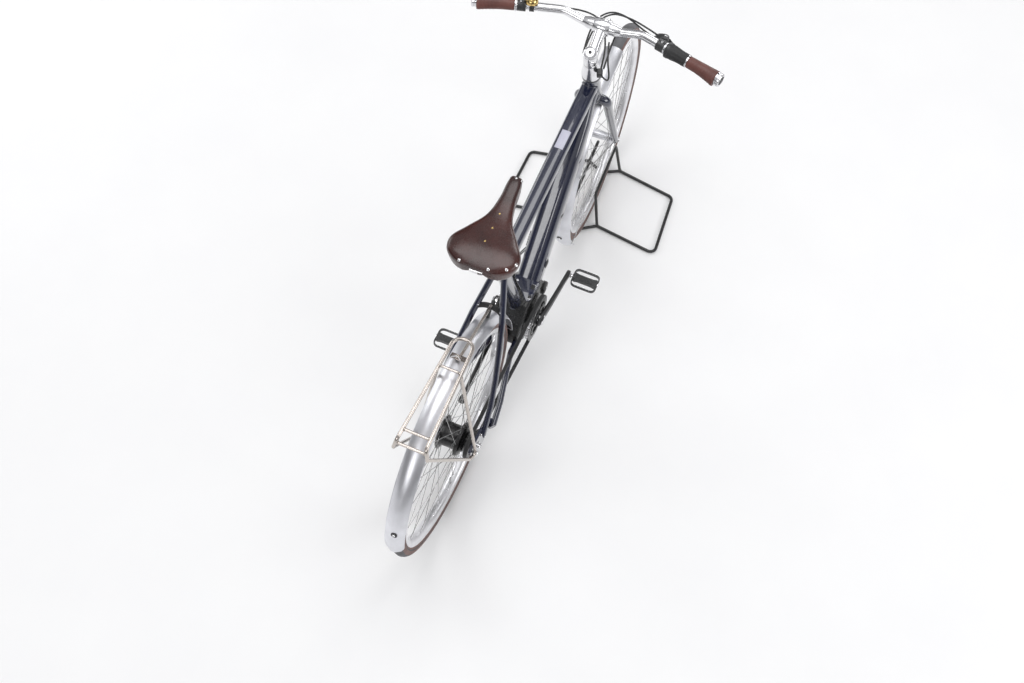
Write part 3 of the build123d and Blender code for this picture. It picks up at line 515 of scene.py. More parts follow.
LEATHER = leather("saddle_hide", (0.020, 0.0052, 0.0042), (0.066, 0.015, 0.011), 700.0, 90.0, (0.2, 0.34),
                  Coat_Weight=0.25, Coat_Roughness=0.25)
GRIP_HIDE = leather("grip_hide", (0.082, 0.026, 0.020), (0.165, 0.056, 0.044), 900.0, 130.0, (0.4, 0.6),
                    Coat_Weight=0.1, Coat_Roughness=0.25)
print("materials:", len(bpy.data.materials))


# %% [markdown]
# ## How the pieces are modelled
# Almost everything on a bicycle is one of three things: something turned, something bent from rod, or
# something drawn from one section to the next. So there are three ways to begin a piece.
# A turned part starts as a flat outline that the spin operator carries round its axis.
# A rod is a curve with a round bevel, changed into a mesh.
# A drawn part starts as a circle that is extruded section by section.
# An operator acts on all that is selected, so everything is deselected before each start.

# %% Turned parts
def across(axis):
    """Two directions square to an axis and to each other."""
    helper = UP if abs(axis.dot(UP)) < 0.9 else Vector((1, 0, 0))
    first = helper.cross(axis).normalized()
    return first, axis.cross(first).normalized()


def choose(pieces):
    """Selects these pieces alone and makes the first one active."""
    bpy.ops.object.select_all(action="DESELECT")
    for piece in pieces:
        piece.select_set(True)
    bpy.context.view_layer.objects.active = pieces[0]


def new_ring(count, fill="NOTHING"):
    """A circle of so many points, open in edit mode, with nothing else selected."""
    bpy.ops.object.select_all(action="DESELECT")
    bpy.ops.mesh.primitive_circle_add(vertices=count, radius=0.01, fill_type=fill, enter_editmode=True)
    return bpy.context.object


def merge_doubles():
    """Closes seams and poles, drops what is left loose and turns every face outwards."""
    bpy.ops.mesh.select_all(action="SELECT")
    bpy.ops.mesh.remove_doubles(threshold=0.002 * MM)
    bpy.ops.mesh.delete_loose()
    bpy.ops.mesh.select_all(action="SELECT")
    bpy.ops.mesh.normals_make_consistent(inside=False)
    bpy.ops.object.mode_set(mode="OBJECT")


def turned(outline, centre, axis, look, sides=48):
    """A closed outline of (radius, place along the axis) in mm, spun once round the axis."""
    piece = new_ring(len(outline))
    out = across(axis)[0]
    for vert, (radius, along) in zip(bmesh.from_edit_mesh(piece.data).verts, outline):
        vert.co = centre + (out * radius + axis * along) * MM
    bpy.ops.mesh.select_all(action="SELECT")
    bpy.ops.mesh.spin(steps=sides, angle=2 * math.pi, center=centre, axis=axis)
    merge_doubles()
    piece.data.materials.append(look)
    return piece


def band(bore, radius, low, high, aside=0.6, along=0.8):
    """The outline of a ring from low to high whose outer edges are cut back a little."""
    return [(bore, low), (radius - aside, low), (radius, low + along), (radius, high - along),
            (radius - aside, high), (bore, high)]


def mirrored(half):
    """An outline of (radius, place along the axis) followed by its mirror image."""
    return half + [(radius, -along) for radius, along in half[::-1]]


def bolt(centre, axis, radius, height, look):
    """A cap screw with a socket in its head, standing so high above centre."""
    hole = radius * 0.5
    outline = [(0, 0), (radius, 0), (radius, height * 0.8), (radius * 0.85, height), (hole, height),
               (hole, height * 0.4), (0, height * 0.4)]
    return turned(outline, centre, axis, look, 20)


def ball(centre, radius, look, sides=20, squash=1.0, axis=UP):
    """A round bead, flattened along its axis if asked."""
    angles = [math.radians(d) for d in range(-90, 91, 18)]
    outline = [(radius * math.cos(a), radius * squash * math.sin(a)) for a in angles]
    outline[0], outline[-1] = (0, -radius * squash), (0, radius * squash)
    return turned(outline, centre, axis, look, sides)


def copied_round(piece, copies, centre, axis):
    """The piece repeated evenly round an axis, itself being the first."""
    choose([piece])
    bpy.ops.object.mode_set(mode="EDIT")
    bpy.ops.mesh.select_all(action="SELECT")
    whole = 2 * math.pi * (copies - 1) / copies
    bpy.ops.mesh.spin(steps=copies - 1, dupli=True, angle=whole, center=centre, axis=axis)
    merge_doubles()
    return piece


# %% Rods
def rod(points, radius, look, sides=16, closed=False, radii=None):
    """A round rod in mm along the points. radii scales it at each point."""
    curve = bpy.data.curves.new("rod", "CURVE")
    curve.dimensions = "3D"
    curve.bevel_depth = radius * MM
    curve.bevel_resolution = (sides - 4) // 2
    curve.use_fill_caps = not closed
    spline = curve.splines.new("POLY")
    spline.points.add(len(points) - 1)
    spline.use_cyclic_u = closed
    for n, point in enumerate(points):
        spline.points[n].co = (*point, 1)
        spline.points[n].radius = radii[n] if radii else 1.0
    piece = bpy.data.objects.new("rod", curve)
    bpy.context.scene.collection.objects.link(piece)
    choose([piece])
    bpy.ops.object.convert(target="MESH")
    bpy.ops.object.mode_set(mode="EDIT")
    merge_doubles()
    piece = bpy.context.object
    piece.data.materials.clear()
    piece.data.materials.append(look)
    return piece


def bent(points, bends, step=0.16):
    """The path through the points with its corners turned into arcs of the given radii in mm."""
    if not isinstance(bends, (list, tuple)):
        bends = [bends] * (len(points) - 2)
    path = [points[0]]
    for before, corner, after, bend in zip(points, points[1:], points[2:], bends):
        back, on = (before - corner).normalized(), (after - corner).normalized()
        half = math.acos(max(-1, min(1, back.dot(on)))) / 2
        if half > 1.56:
            path.append(corner)
            continue
        centre = corner + (back + on).normalized() * bend * MM / math.sin(half)
        reach = bend * MM / math.tan(half)
        start = (corner + back * reach - centre).normalized()
        end = (corner + on * reach - centre).normalized()
        pieces = max(3, round(start.angle(end) / step))
        path += [centre + start.slerp(end, n / pieces) * bend * MM for n in range(pieces + 1)]
    return path + [points[-1]]


def divided(path, step):
    """The same path with points no further apart than step, in mm."""
    fine = [path[0]]
    for a, b in zip(path, path[1:]):
        parts = max(1, math.ceil((b - a).length / (step * MM)))
        fine += [a.lerp(b, n / parts) for n in range(1, parts + 1)]
    return fine


def bent_rod(points, bends, radius, look, step, sides=16):
    """A rod along the points with an arc at each corner."""
    return rod(divided(bent(points, bends), step), radius, look, sides)


# %% Drawn parts
def drawn(sections, look, closed=False, caps=True):
    """A circle extruded from section to section, its points set on each in turn."""
    sections = sections + sections[:1] if closed else sections
    piece = new_ring(len(sections[0]), "NGON" if caps and not closed else "NOTHING")
    shape = bmesh.from_edit_mesh(piece.data)
    order = shape.verts.layers.int.new("order")
    for vert in shape.verts:
        vert[order] = vert.index
    for n, section in enumerate(sections):
        if n:
            bpy.ops.mesh.extrude_region_move()
        shape = bmesh.from_edit_mesh(piece.data)
        order = shape.verts.layers.int["order"]
        for vert in shape.verts:
            if vert.select:
                vert.co = section[vert[order]]
    merge_doubles()
    piece.data.attributes.remove(piece.data.attributes["order"])
    piece.data.materials.append(look)
    return piece


def plate(outline, place_at, low, high, look):
    """An outline of (x, y) in mm, drawn by place_at(x, y, height) from low to high."""
    return drawn([[place_at(x, y, z) for x, y in outline] for z in (low, high)], look)


def oval(centre, u, v, half_u, half_v, power=2.0, count=32):
    """A section between an ellipse (power 2) and a rounded box (higher powers)."""
    ring = []
    for n in range(count):
        turn = 2 * math.pi * n / count
        c, s = math.cos(turn), math.sin(turn)
        ring.append(centre + (u * math.copysign(abs(c) ** (2 / power), c) * half_u
                              + v * math.copysign(abs(s) ** (2 / power), s) * half_v) * MM)
    return ring


def ring_of(middle, u, v, reach, count):
    """Points round a place, reach(number, angle) mm away from it."""
    turns = [2 * math.pi * k / count for k in range(count)]
    return [middle + (u * math.cos(a) + v * math.sin(a)) * reach(k, a) * MM for k, a in enumerate(turns)]


def ovals(start, along, u, v, stations, power, count):
    """Ovals of (place along, half width, half height), square to a straight line."""
    return [oval(start + along * d * MM, u, v, wide, high, power, count) for d, wide, high in stations]


def softened(outline, radius, parts=5):
    """A closed outline of (x, y) with every corner turned into an arc."""
    soft = []
    for n, corner in enumerate(outline):
        corner = Vector(corner)
        before = Vector(outline[n - 1]) - corner
        after = Vector(outline[(n + 1) % len(outline)]) - corner
        cut = min(radius / math.tan(before.angle(after) / 2), before.length / 2.1, after.length / 2.1)
        start, end = corner + before.normalized() * cut, corner + after.normalized() * cut
        for k in range(parts + 1):
            t = k / parts
            soft.append(tuple(start * (1 - t) ** 2 + corner * 2 * t * (1 - t) + end * t ** 2))
    return soft


def shrunk(outline, by):
    """The outline drawn in towards its middle by about this much."""
    middle = sum((Vector(point) for point in outline), Vector((0, 0))) / len(outline)
    arms = [Vector(point) - middle for point in outline]
    return [tuple(middle + arm * (1 - by / arm.length)) for arm in arms]


# %% [markdown]
# A piece is finished in the same way each time. Its parts are joined, it is turned with the steering
# if it belongs to it, its edges get a small bevel, and the faces are smoothed except over real edges.

# %% Finishing a piece
def settle(piece, body, replaces=None):
    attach(piece, body)
    if replaces:
        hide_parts(replaces)


def joined(name, parts, body, replaces=None, turn=None, bevel=0.0, smooth=0, sharp=38):
    """One finished piece made of its parts."""
    choose(parts)
    if len(parts) > 1:
        bpy.ops.object.join()
    piece = bpy.context.object
    piece.name = piece.data.name = name
    if turn:
        piece.data.transform(turn)
    if bevel:
        edge = piece.modifiers.new("bevel", "BEVEL")
        edge.width, edge.segments = bevel * MM, 2
        edge.limit_method, edge.angle_limit = "ANGLE", math.radians(sharp)
        bpy.ops.object.modifier_apply(modifier=edge.name)
    if smooth:
        soft = piece.modifiers.new("smooth", "SUBSURF")
        soft.levels = soft.render_levels = smooth
        bpy.ops.object.modifier_apply(modifier=soft.name)
    bpy.ops.object.shade_smooth_by_angle(angle=math.radians(sharp))
    settle(piece, body, replaces)
    print(name, "faces:", len(piece.data.polygons))
    return piece


def give(piece, look, rule):
    """A second finish for the faces whose middle satisfies the rule."""
    piece.data.materials.append(look)
    number = len(piece.data.materials) - 1
    for face in piece.data.polygons:
        if rule(face.center):
            face.material_index = number


def keep_solid(names, material):
    """A solid whose shape is right stays, with a better finish."""
    for name in names:
        NODES[name].data.materials.clear()
        NODES[name].data.materials.append(material)


# %% The floor
def floor():
    bpy.ops.object.select_all(action="DESELECT")
    bpy.ops.mesh.primitive_plane_add(size=28, location=(0, 0, -0.0006))
    sheet = bpy.context.object
    sheet.name = "floor"
    bpy.ops.object.transform_apply()
    paper = finish("floor_paper", (0.925, 0.925, 0.93), (0.945, 0.945, 0.945), (0.55, 0.65), 300.0, 0.02, 0.0,
                   drift=3.0, Specular_IOR_Level=0.2)[0]
    sheet.data.materials.append(paper)


floor()

# %% [markdown]
# ## Tyres
# A city tyre is a round casing whose tread is cut into slanted blocks, with a brown wall below them.
# Modelling every block would be slow, so one block's width of the section is drawn, with its groove,
# and the spin operator copies it round the hub. Merging the doubles closes the tyre.

# %% Tyres
TYRE_R, TYRE_HALF, WALL_R = 350.0, 20.0, 339.5
TREAD_BLOCKS = 150


def tread_cut(share, spread):
    """How deep the tread is cut at a share of a block and so many degrees from its crown."""
    if spread < 56:
        slanted = (share + spread / 26) % 1.0
        grooved = slanted < 0.25 or 14 < spread < 20 or 33 < spread < 38
        return 1.2 if grooved else 0.0
    return 0.5 if 58 < spread < 64 else 0.0


def tyre(name, hub, body, replaced, wall, turn=None):
    middle = TYRE_R - TYRE_HALF
    sections = []
    for n in range(5):
        out = circle(Vector(), 1, 360 / TREAD_BLOCKS * n / 4) / MM
        ring = [hub + (out * 309 - LEFT * 10.2) * MM, hub + (out * 316 - LEFT * 11) * MM]
        for degrees in range(-126, 127, 6):
            lean = math.radians(degrees)
            r = TYRE_HALF - tread_cut(n / 4, abs(degrees))
            ring.append(hub + (out * (middle + r * math.cos(lean)) + LEFT * r * math.sin(lean)) * MM)
        ring += [hub + (out * 316 + LEFT * 11) * MM, hub + (out * 309 + LEFT * 10.2) * MM]
        sections.append(ring)
    block = drawn(sections, TREAD, caps=False)
    casing = copied_round(block, TREAD_BLOCKS, hub, -LEFT)
    give(casing, wall, lambda spot: Vector((spot.x - hub.x, 0, spot.z - hub.z)).length < WALL_R * MM)
    joined(name, [casing], body, replaced, turn, sharp=60)


tyre("front_tyre_tread", FRONT_HUB, "front_wheel", "front_tyre", FRONT_WALL, STEER)
tyre("rear_tyre_tread", REAR_HUB, "rear_wheel", "rear_tyre", REAR_WALL)

# %% [markdown]
# ## Rims and spokes
# A rim is a hollow alloy section with a rounded back, turned once round the hub, and its valve stands
# at the foot. Spokes leave the hub's flanges in four directions that repeat nine times, so four are
# bent with their nipples and heads and then copied round.

# %% Rims
RIM_R, SPOKES = 298.0, 36


def rim(name, hub, body, replaced, alloy, turn=None):
    outer = [(RIM_R, 2), (298.6, 6.5), (300.6, 10.8), (304, 14.4), (307.4, 16.3), (308.2, 16.0),
             (316.8, 16.0), (317.4, 16.3), (318.6, 15.9), (318.6, 14.6), (312, 10.35), (309, 10.3)]
    right = [(radius, -y) for radius, y in outer[::-1]]
    alloy_ring = turned(outer + [(308.6, 0)] + right, hub, LEFT, alloy, 240)
    out = circle(Vector(), 1, -95) / MM
    valve = turned([(0, 0), (4.2, 0), (4.2, 2.5), (3.0, 3), (3.0, 26), (2.2, 27), (2.2, 33), (0, 34)],
                   hub + out * (RIM_R + 1) * MM, -out, WIRE, 14)
    joined(name, [alloy_ring, valve], body, replaced, turn, sharp=50)


rim("front_rim_alloy", FRONT_HUB, "front_wheel", "front_rim", FRONT_RIM, STEER)
rim("rear_rim_alloy", REAR_HUB, "rear_wheel", "rear_rim", REAR_RIM)


# %% Spokes
def spokes(name, hub, body, replaced, turn, flange_y, foot_r, foot_out, lean):
    parts = []
    for n in range(4):
        degrees = 360 / SPOKES * n
        side = 1 if n % 2 else -1
        lead = 1 if n // 2 else -1
        foot = circle(hub, foot_r, degrees + lead * lean, side * (flange_y + lead * foot_out))
        tip = circle(hub, RIM_R, degrees, side * 3.0)
        along = (tip - foot).normalized()
        inward = LEFT * -side * lead * foot_out * 2 * MM
        wire = [foot + inward, foot, foot.lerp(tip, 0.06), foot.lerp(tip, 0.09), foot.lerp(tip, 0.97), tip]
        parts.append(rod(wire, 1.0, WIRE, 8, radii=[1, 1, 1, 0.9, 0.9, 1]))
        nipple = [tip - along * 13 * MM, tip - along * 4 * MM, tip]
        parts.append(rod(nipple, 2.0, CHROME, 8, radii=[0.75, 1, 1]))
        parts.append(ball(foot + inward, 2.1, WIRE, 10, 0.6, LEFT))
        parts.append(turned([(2.1, -0.8), (3.4, -0.7), (3.4, 0.4), (2.1, 0.6)], tip, -along, CHROME, 12))
    four = joined(name, parts, body, replaced, sharp=50)
    copied_round(four, SPOKES // 4, hub, LEFT)
    if turn:
        four.data.transform(turn)


spokes("front_spoke_wires", FRONT_HUB, "front_wheel", "front_spokes", STEER, 32.8, 19, 2.4, 58)
spokes("rear_spoke_wires", REAR_HUB, "rear_wheel", "rear_spokes", None, 25.2, 44, 2.8, 40)

# %% [markdown]
# ## Hubs
# Both hubs are turned. The rear one is a fat black gear hub with broad flanges, and the front one a
# slim bright barrel whose flanges show the rims of their spoke holes.

# %% Hubs
REAR_HUB_OUTLINE = [
    (14, -65), (14, -49), (21, -49), (21, -43), (30, -43), (34, -36), (46, -33), (49, -27), (49, -23.4),
    (39, -23), (35, -17), (34, 0), (35, 17), (39, 23), (49, 23.4), (49, 27), (45, 31), (27, 33), (25, 46),
    (16, 48), (16, 65)]
FRONT_HUB_OUTLINE = mirrored([
    (9, -48), (9, -42), (15, -39), (15, -36), (23, -34.2), (23, -31.4), (15, -30), (12.5, -24)])


def hub_shell(name, outline, centre, body, replaced, turn, material, holes=()):
    bore = 5.05
    shell = turned([(bore, outline[0][1])] + outline + [(bore, outline[-1][1])], centre, LEFT, material, 96)
    parts = [shell]
    for radius, y in holes:
        spot = circle(centre, radius, 10, y)
        rim_of_hole = turned([(1.2, -0.05), (2.0, -0.05), (2.0, 0.25), (1.2, 0.25)], spot,
                             LEFT * math.copysign(1, y), material, 8)
        parts.append(copied_round(rim_of_hole, SPOKES // 2, centre, LEFT))
    joined(name, parts, body, replaced, turn, bevel=0.5, sharp=28)


hub_shell("front_hub_shell", FRONT_HUB_OUTLINE, FRONT_HUB, "front_wheel", "front_hub", STEER, FRONT_ALLOY,
          ((19, 34.3), (19, -34.3)))
hub_shell("rear_hub_shell", REAR_HUB_OUTLINE, REAR_HUB, "rear_wheel", "rear_hub", None, CASTING)
keep_solid(["front_axle", "rear_axle", "crank_spindle"], CHROME)

# %% [markdown]
# ## Mudguards
# A mudguard is a thin arched blade with a rolled edge and a rounded low end. Its section is drawn
# along the wheel's circle, narrowing over the last few centimetres, and a fine rod along both edges
# is the roll.

# %% Mudguards
def mudguard(name, centre, from_deg, to_deg, body, replaced, alloy, bolts, turn=None):
    half, crown, drop = 27.0, 362.0, 11.0
    total = math.radians(to_deg - from_deg) * crown
    count = round(total / 9)
    steps = [k / 8 for k in range(-8, 9)]
    sections, left_edge, right_edge = [], [], []
    for n in range(count + 1):
        run = (count - n) / count * total
        narrow = 1.0 if run > half else max(0.2, math.sqrt(1 - (1 - run / half) ** 2))
        degrees = from_deg + (to_deg - from_deg) * n / count

        def spot(s, inset):
            return circle(centre, crown - inset - drop * (s * narrow) ** 2, degrees, half * s * narrow)

        sections.append([spot(s, 0) for s in steps] + [spot(s, 1.5) for s in reversed(steps)])
        left_edge.append(spot(1, 0.8))
        right_edge.append(spot(-1, 0.8))
    parts = [drawn(sections, alloy), rod(right_edge + left_edge[::-1], 1.3, alloy, 8, True)]
    for degrees, y, inset in bolts:
        out = circle(Vector(), 1, degrees) / MM
        foot = circle(centre, crown - inset, degrees, y)
        parts.append(bolt(foot, out, 8.6, 2.0, BLACK))
        parts.append(bolt(foot + out * 1.8 * MM, out, 3.6, 2.4, CHROME))
    joined(name, parts, body, replaced, turn, sharp=50)


mudguard("front_mudguard_blade", FRONT_HUB, 84, 221, "front_assembly", "front_mudguard", FRONT_ALLOY,
         [(195, 4, 0.4)], STEER)
mudguard("rear_mudguard_blade", REAR_HUB, 5, 177, "frame", "rear_mudguard", REAR_ALLOY,
         [(162.5, -2, 0.4)])


# %% Mudguard stays
def mudguard_stays():
    parts = []
    for side in (1, -1):
        foot = head(FORK_OFFSET, side * 58.5, 16)
        for degrees in (150, 205):
            end = circle(FRONT_HUB, 355, degrees, side * 28.6)
            parts.append(rod([foot, foot.lerp(end, 0.5), end], 1.8, WIRE, 12))
            parts.append(ball(end, 3.4, CHROME, 12, 0.7, LEFT))
        nut = [(0, 0), (5, 0), (5, 4.5), (4, 5.5), (0, 5.5)]
        parts.append(turned(nut, head(FORK_OFFSET, side * 56, 16), LEFT * side, CHROME, 20))
    joined("front_mudguard_wires", parts, "front_assembly", "front_mudguard_stays", STEER)


mudguard_stays()

# %% [markdown]
# ## Frame tubes
# The down tube and top tube are boxed tubes whose sections change along their length, so each is drawn
# through a few sections between an oval and a rounded box. Where two tubes meet, the end section is
# pushed along the tube until it lies on the other tube's skin, and a bead of weld is laid round it.

# %% Helpers for tubes and welds
DOWN_TOP = head(0, 0, 449)
DOWN_FOOT = rear(536, 0, 348)
DOWN_ALONG = (DOWN_FOOT - DOWN_TOP).normalized()
DOWN_LENGTH = (DOWN_FOOT - DOWN_TOP).length / MM
TOP_START = seat(0, 0, 470)
TOP_END = head(0, 0, 473)
TOP_ALONG = (TOP_END - TOP_START).normalized()
TOP_LENGTH = (TOP_END - TOP_START).length / MM
HEAD_SKIN, HEAD_WELD, SEAT_SKIN, SEAT_WELD = 24.2, 25.6, 19.6, 20.8


def onto_tube(points, direction, place, axis, radius):
    """Each point moved along the direction to the near side of a round tube."""
    moved = []
    flat = direction - axis * direction.dot(axis)
    for point in points:
        offset = point - place
        p = offset - axis * offset.dot(axis)
        a, b, c = flat.dot(flat), 2 * p.dot(flat), p.dot(p) - (radius * MM) ** 2
        moved.append(point + direction * ((-b - math.sqrt(max(0.0, b * b - 4 * a * c))) / (2 * a)))
    return moved


def boxy_sections(start, direction, stations, power):
    """Sections at every 14 mm between stations of (place along, width, height)."""
    upward = LEFT.cross(direction).normalized()
    sections = []
    for (a, wide_a, high_a), (b, wide_b, high_b) in zip(stations, stations[1:]):
        parts = max(1, round((b - a) / 14))
        for n in range(parts + 1 if b == stations[-1][0] else parts):
            t = n / parts
            wide, high = wide_a + (wide_b - wide_a) * t, high_a + (high_b - high_a) * t
            place = start + direction * (a + (b - a) * t) * MM
            sections.append(oval(place, LEFT, upward, wide / 2, high / 2, power, 44))
    return sections


def weld(ring, radius=2.6, pitch=4.5, look=None):
    """A bead of weld along a closed ring, laid in overlapping steps."""
    path = divided(ring + ring[:1], 1.5)[:-1]
    steps = round(sum((b - a).length for a, b in zip(path, path[1:])) / (pitch * MM))
    radii = [0.88 + 0.12 * abs(math.sin(math.pi * steps * n / len(path))) for n in range(len(path))]
    return rod(path, radius, look or NAVY, 8, True, radii)


def carried(path, start, halves_u, halves_v, power=2.0):
    """Sections square to a path, their first side kept as near as it goes to a starting direction."""
    sections = []
    for n, point in enumerate(path):
        tangent = (path[min(n + 1, len(path) - 1)] - path[max(n - 1, 0)]).normalized()
        start = (start - tangent * start.dot(tangent)).normalized()
        sections.append(oval(point, start, tangent.cross(start), halves_u[n], halves_v[n], power, 24))
    return sections


def hoop(place, axis, radius, count=60):
    """The points of a circle round an axis, radius in mm."""
    return ring_of(place, *across(axis), lambda k, a: radius, count)


# %% Down tube with its charging port
def down_tube():
    stations = [(52, 48, 53), (100, 60, 62), (190, 68, 74), (DOWN_LENGTH - 6, 70, 78)]
    sections = boxy_sections(DOWN_TOP, DOWN_ALONG, stations, 3.4)
    skin, bead = (onto_tube(sections[0], -DOWN_ALONG, HEAD_FOOT, HEAD_UP, r) for r in (HEAD_SKIN, HEAD_WELD))
    port = DOWN_TOP + DOWN_ALONG * (DOWN_LENGTH - 66) * MM - LEFT * 34.4 * MM
    flap = [(0, -1), (11.5, -1), (11.5, 1.0), (10, 2.0), (4, 2.0), (3.4, 1.2), (0, 1.2)]
    ring = [(11.6, -1), (13.6, -1), (13.6, 1.2), (12.8, 1.8), (11.6, 1.6)]
    parts = [turned(flap, port, -LEFT, RUBBER, 32), turned(ring, port, -LEFT, BLACK, 40)]
    parts = [drawn([skin] + sections, NAVY), weld(bead)] + parts
    joined("down_tube_painted", parts, "frame", "down_tube", sharp=30)


down_tube()


# %% Top tube with its blank label
def top_tube():
    stations = [(30, 38, 36.5), (TOP_LENGTH / 2, 43, 42), (TOP_LENGTH - 40, 46, 44)]
    sections = boxy_sections(TOP_START, TOP_ALONG, stations, 3.0)
    back = onto_tube(sections[0], -TOP_ALONG, BB, SEAT_UP, SEAT_SKIN)
    ahead = onto_tube(sections[-1], TOP_ALONG, HEAD_FOOT, HEAD_UP, HEAD_SKIN)
    beads = [weld(onto_tube(sections[0], -TOP_ALONG, BB, SEAT_UP, SEAT_WELD), 2.2),
             weld(onto_tube(sections[-1], TOP_ALONG, HEAD_FOOT, HEAD_UP, HEAD_WELD), 2.4)]
    parts = [drawn([back] + sections + [ahead], NAVY)] + beads
    joined("top_tube_painted", parts, "frame", "top_tube", sharp=30)


def top_tube_label():
    """A thin blank label bent over the tube's crown."""
    upward = TOP_ALONG.cross(LEFT).normalized()
    sections = []
    for along in range(0, 61, 6):
        t = TOP_LENGTH - 243 + along
        grown = min(1, (t - TOP_LENGTH / 2) / (TOP_LENGTH / 2 - 40))
        half_wide, half_high = (43 + 3 * grown) / 2, (42 + 2 * grown) / 2
        rows = []
        for lift in (0.35, 0.05):
            row = []
            for n in range(11):
                turn = math.radians(66 + 4.8 * n)
                c, s = math.cos(turn), math.sin(turn)
                aside = -math.copysign(abs(c) ** (2 / 3), c) * (half_wide + lift)
                row.append(TOP_START + TOP_ALONG * t * MM
                           + (LEFT * aside + upward * abs(s) ** (2 / 3) * (half_high + lift)) * MM)
            rows.append(row)
        sections.append(rows[0] + rows[1][::-1])
    joined("top_tube_label", [drawn(sections, LABEL)], "frame")


top_tube()
top_tube_label()


# %% Seat tube, head tube and headset
def seat_tube():
    stations = [(z, 20, 20) for z in (96, 102, 140, 300, 498)]
    sections = ovals(BB, SEAT_UP, LEFT, SEAT_AHEAD, stations, 2, 48)
    collar = rod(hoop(seat(0, 0, 106), SEAT_UP, 20.5), 2.2, NAVY, 8, True)
    joined("seat_tube_painted", [drawn(sections, NAVY), collar], "frame", "seat_tube", sharp=40)


def head_tube():
    outline = [(22, 400), (27, 400), (27.2, 408), (25.4, 414), (25, 420), (24.6, 508), (25, 516), (26.2, 522),
               (26, 530), (22, 530)]
    joined("head_tube_painted", [turned(outline, HEAD_FOOT, HEAD_UP, NAVY, 80)], "frame", "head_tube",
           bevel=0.6, sharp=25)
    low = [(14.36, 390.4), (25.8, 390.4), (27.2, 392), (27.2, 398), (26, 399.9), (14.36, 399.9)]
    high = [(14.36, 530.1), (25.4, 530.1), (26.4, 531.5), (26.4, 535), (25.4, 536.4), (14.36, 536.4)]
    rings = [turned(ring, HEAD_FOOT, HEAD_UP, BLACK, 72) for ring in (low, high)]
    joined("headset_cup_rings", rings, "frame", "headset_cups", sharp=30)


seat_tube()
head_tube()

# %% [markdown]
# ## Stays and dropouts
# The seat stays and chain stays swing out round the tyre and the wide hub. Each is a tube bent along
# its corner points. The chain stays end outside the thick end plates in a slanting cut, for which the
# last section's points are slid along the tube. The end plates are flat and right as they are, so
# they only get the paint, and a drawn arch bridges the seat stays.

# %% Stays
def seat_stays():
    parts = []
    corners = ((308, 13, 735), (231, 42, 628), (184, 55, 566), (134, 68, 502), (84, 77, 440), (26, 80, 372))
    for side in (1, -1):
        path = divided(bent([rear(x, side * y, z) for x, y, z in corners], 60), 12)
        clear = [(p - BB).cross(SEAT_UP).length > 19 * MM for p in path]
        path = path[clear.index(True) - 1:]
        along = (path[1] - path[0]).normalized()
        parts.append(rod(path, 8.6, NAVY, 24, radii=[1 - 0.093 * n / len(path) for n in range(len(path))]))
        ring = hoop(path[0] + along * 12 * MM, along, 8.8, 24)
        parts.append(weld(onto_tube(ring, -along, BB, SEAT_UP, 20.6), 1.9))
    joined("seat_stays_painted", parts, "frame", "seat_stays", sharp=50)


def chain_stays():
    parts = []
    corners = ((372, 35, 296), (318, 38, 306), (240, 56, 318), (160, 74, 313), (84, 84, 307))
    for side in (1, -1):
        path = divided(bent([rear(x, side * y, z) for x, y, z in corners], 60), 12)
        along = (path[-1] - path[-2]).normalized()
        sections = carried(path, UP, [8.5] * len(path), [8.5] * len(path))
        sections[-1] = [spot - along * (spot - path[-1]).dot(LEFT) * side * 0.9 for spot in sections[-1]]
        parts.append(drawn(sections, NAVY))
    joined("chain_stays_painted", parts, "frame", "chain_stays", sharp=50)


def dropout_bolts():
    """Bolts on the plates that hold the rear axle, and the flanged nuts on its ends."""
    parts = []
    for side in (1, -1):
        for x, z in ((44, 318), (14, 306), (22, 378)):
            parts.append(bolt(rear(x, side * 75.5, z), LEFT * side, 4.6, 4.0, CHROME))
        flange = [(5.1, 0), (13, 0), (13, 1.6), (5.1, 1.8)]
        nut = [(5.1, 1.6), (9.2, 1.6), (9.2, 8.2), (7.6, 9.6), (5.1, 9.6)]
        parts.append(turned(flange, rear(0, side * 75.5, 350), LEFT * side, CHROME, 32))
        parts.append(turned(nut, rear(0, side * 75.5, 350), LEFT * side, CHROME, 6))
        parts.append(bolt(rear(-34, side * 88, 385), LEFT * side, 6.2, 4.4, CHROME))
    joined("dropout_bolts_steel", parts, "frame", bevel=0.3, sharp=30)


seat_stays()
chain_stays()
dropout_bolts()
keep_solid(["dropouts"], NAVY)


def stay_bridge():
    """A broad flat arch between the seat stays, with a tab down to the mudguard."""
    spots = [rear(251 - 8 * (y / 40) ** 2, y, 657 - 15 * (y / 40) ** 2) for y in range(-40, 41, 4)]
    sections = []
    for n, spot in enumerate(spots):
        along = spots[min(n + 1, len(spots) - 1)] - spots[max(n - 1, 0)]
        ahead = Vector((1, 0, 0.5)).normalized()
        sections.append(oval(spot, ahead, along.cross(ahead).normalized(), 7.6, 5.4, 3.2, 28))
    parts = [drawn(sections, BLACK), rod([rear(229, 0, 622), rear(249, 0, 652)], 6, BLACK)]
    for side in (1, -1):
        parts.append(bolt(rear(245, side * 31, 654), Vector((0, side * 0.4, 1)), 3.6, 3.4, CHROME))
    joined("stay_bridge_arch", parts, "frame", "stay_bridge", sharp=40)


stay_bridge()
keep_solid(["seat_clamp", "kickstand_mount"], BLACK)

# %% [markdown]
# ## Motor
# The motor is a casting with a rounded outline, bulging sides, cooling ribs round its back and a
# screwed cover on its left. Its outline is drawn from side to side with the edges pulled in. The
# frame's painted plate lies over its top as a V, with a small bright-edged panel on it.

# %% Motor
MOTOR_OUTLINE = [(356, 278), (358, 330), (376, 366), (424, 398), (470, 400), (520, 382), (558, 340),
                 (565, 288), (556, 248), (520, 226), (452, 222), (402, 236), (388, 268)]
MOTOR_SCREWS = ((384, 300), (398, 352), (440, 384), (500, 372), (536, 330), (540, 262), (500, 240),
                (420, 250))
MOTOR_CORNER = 14


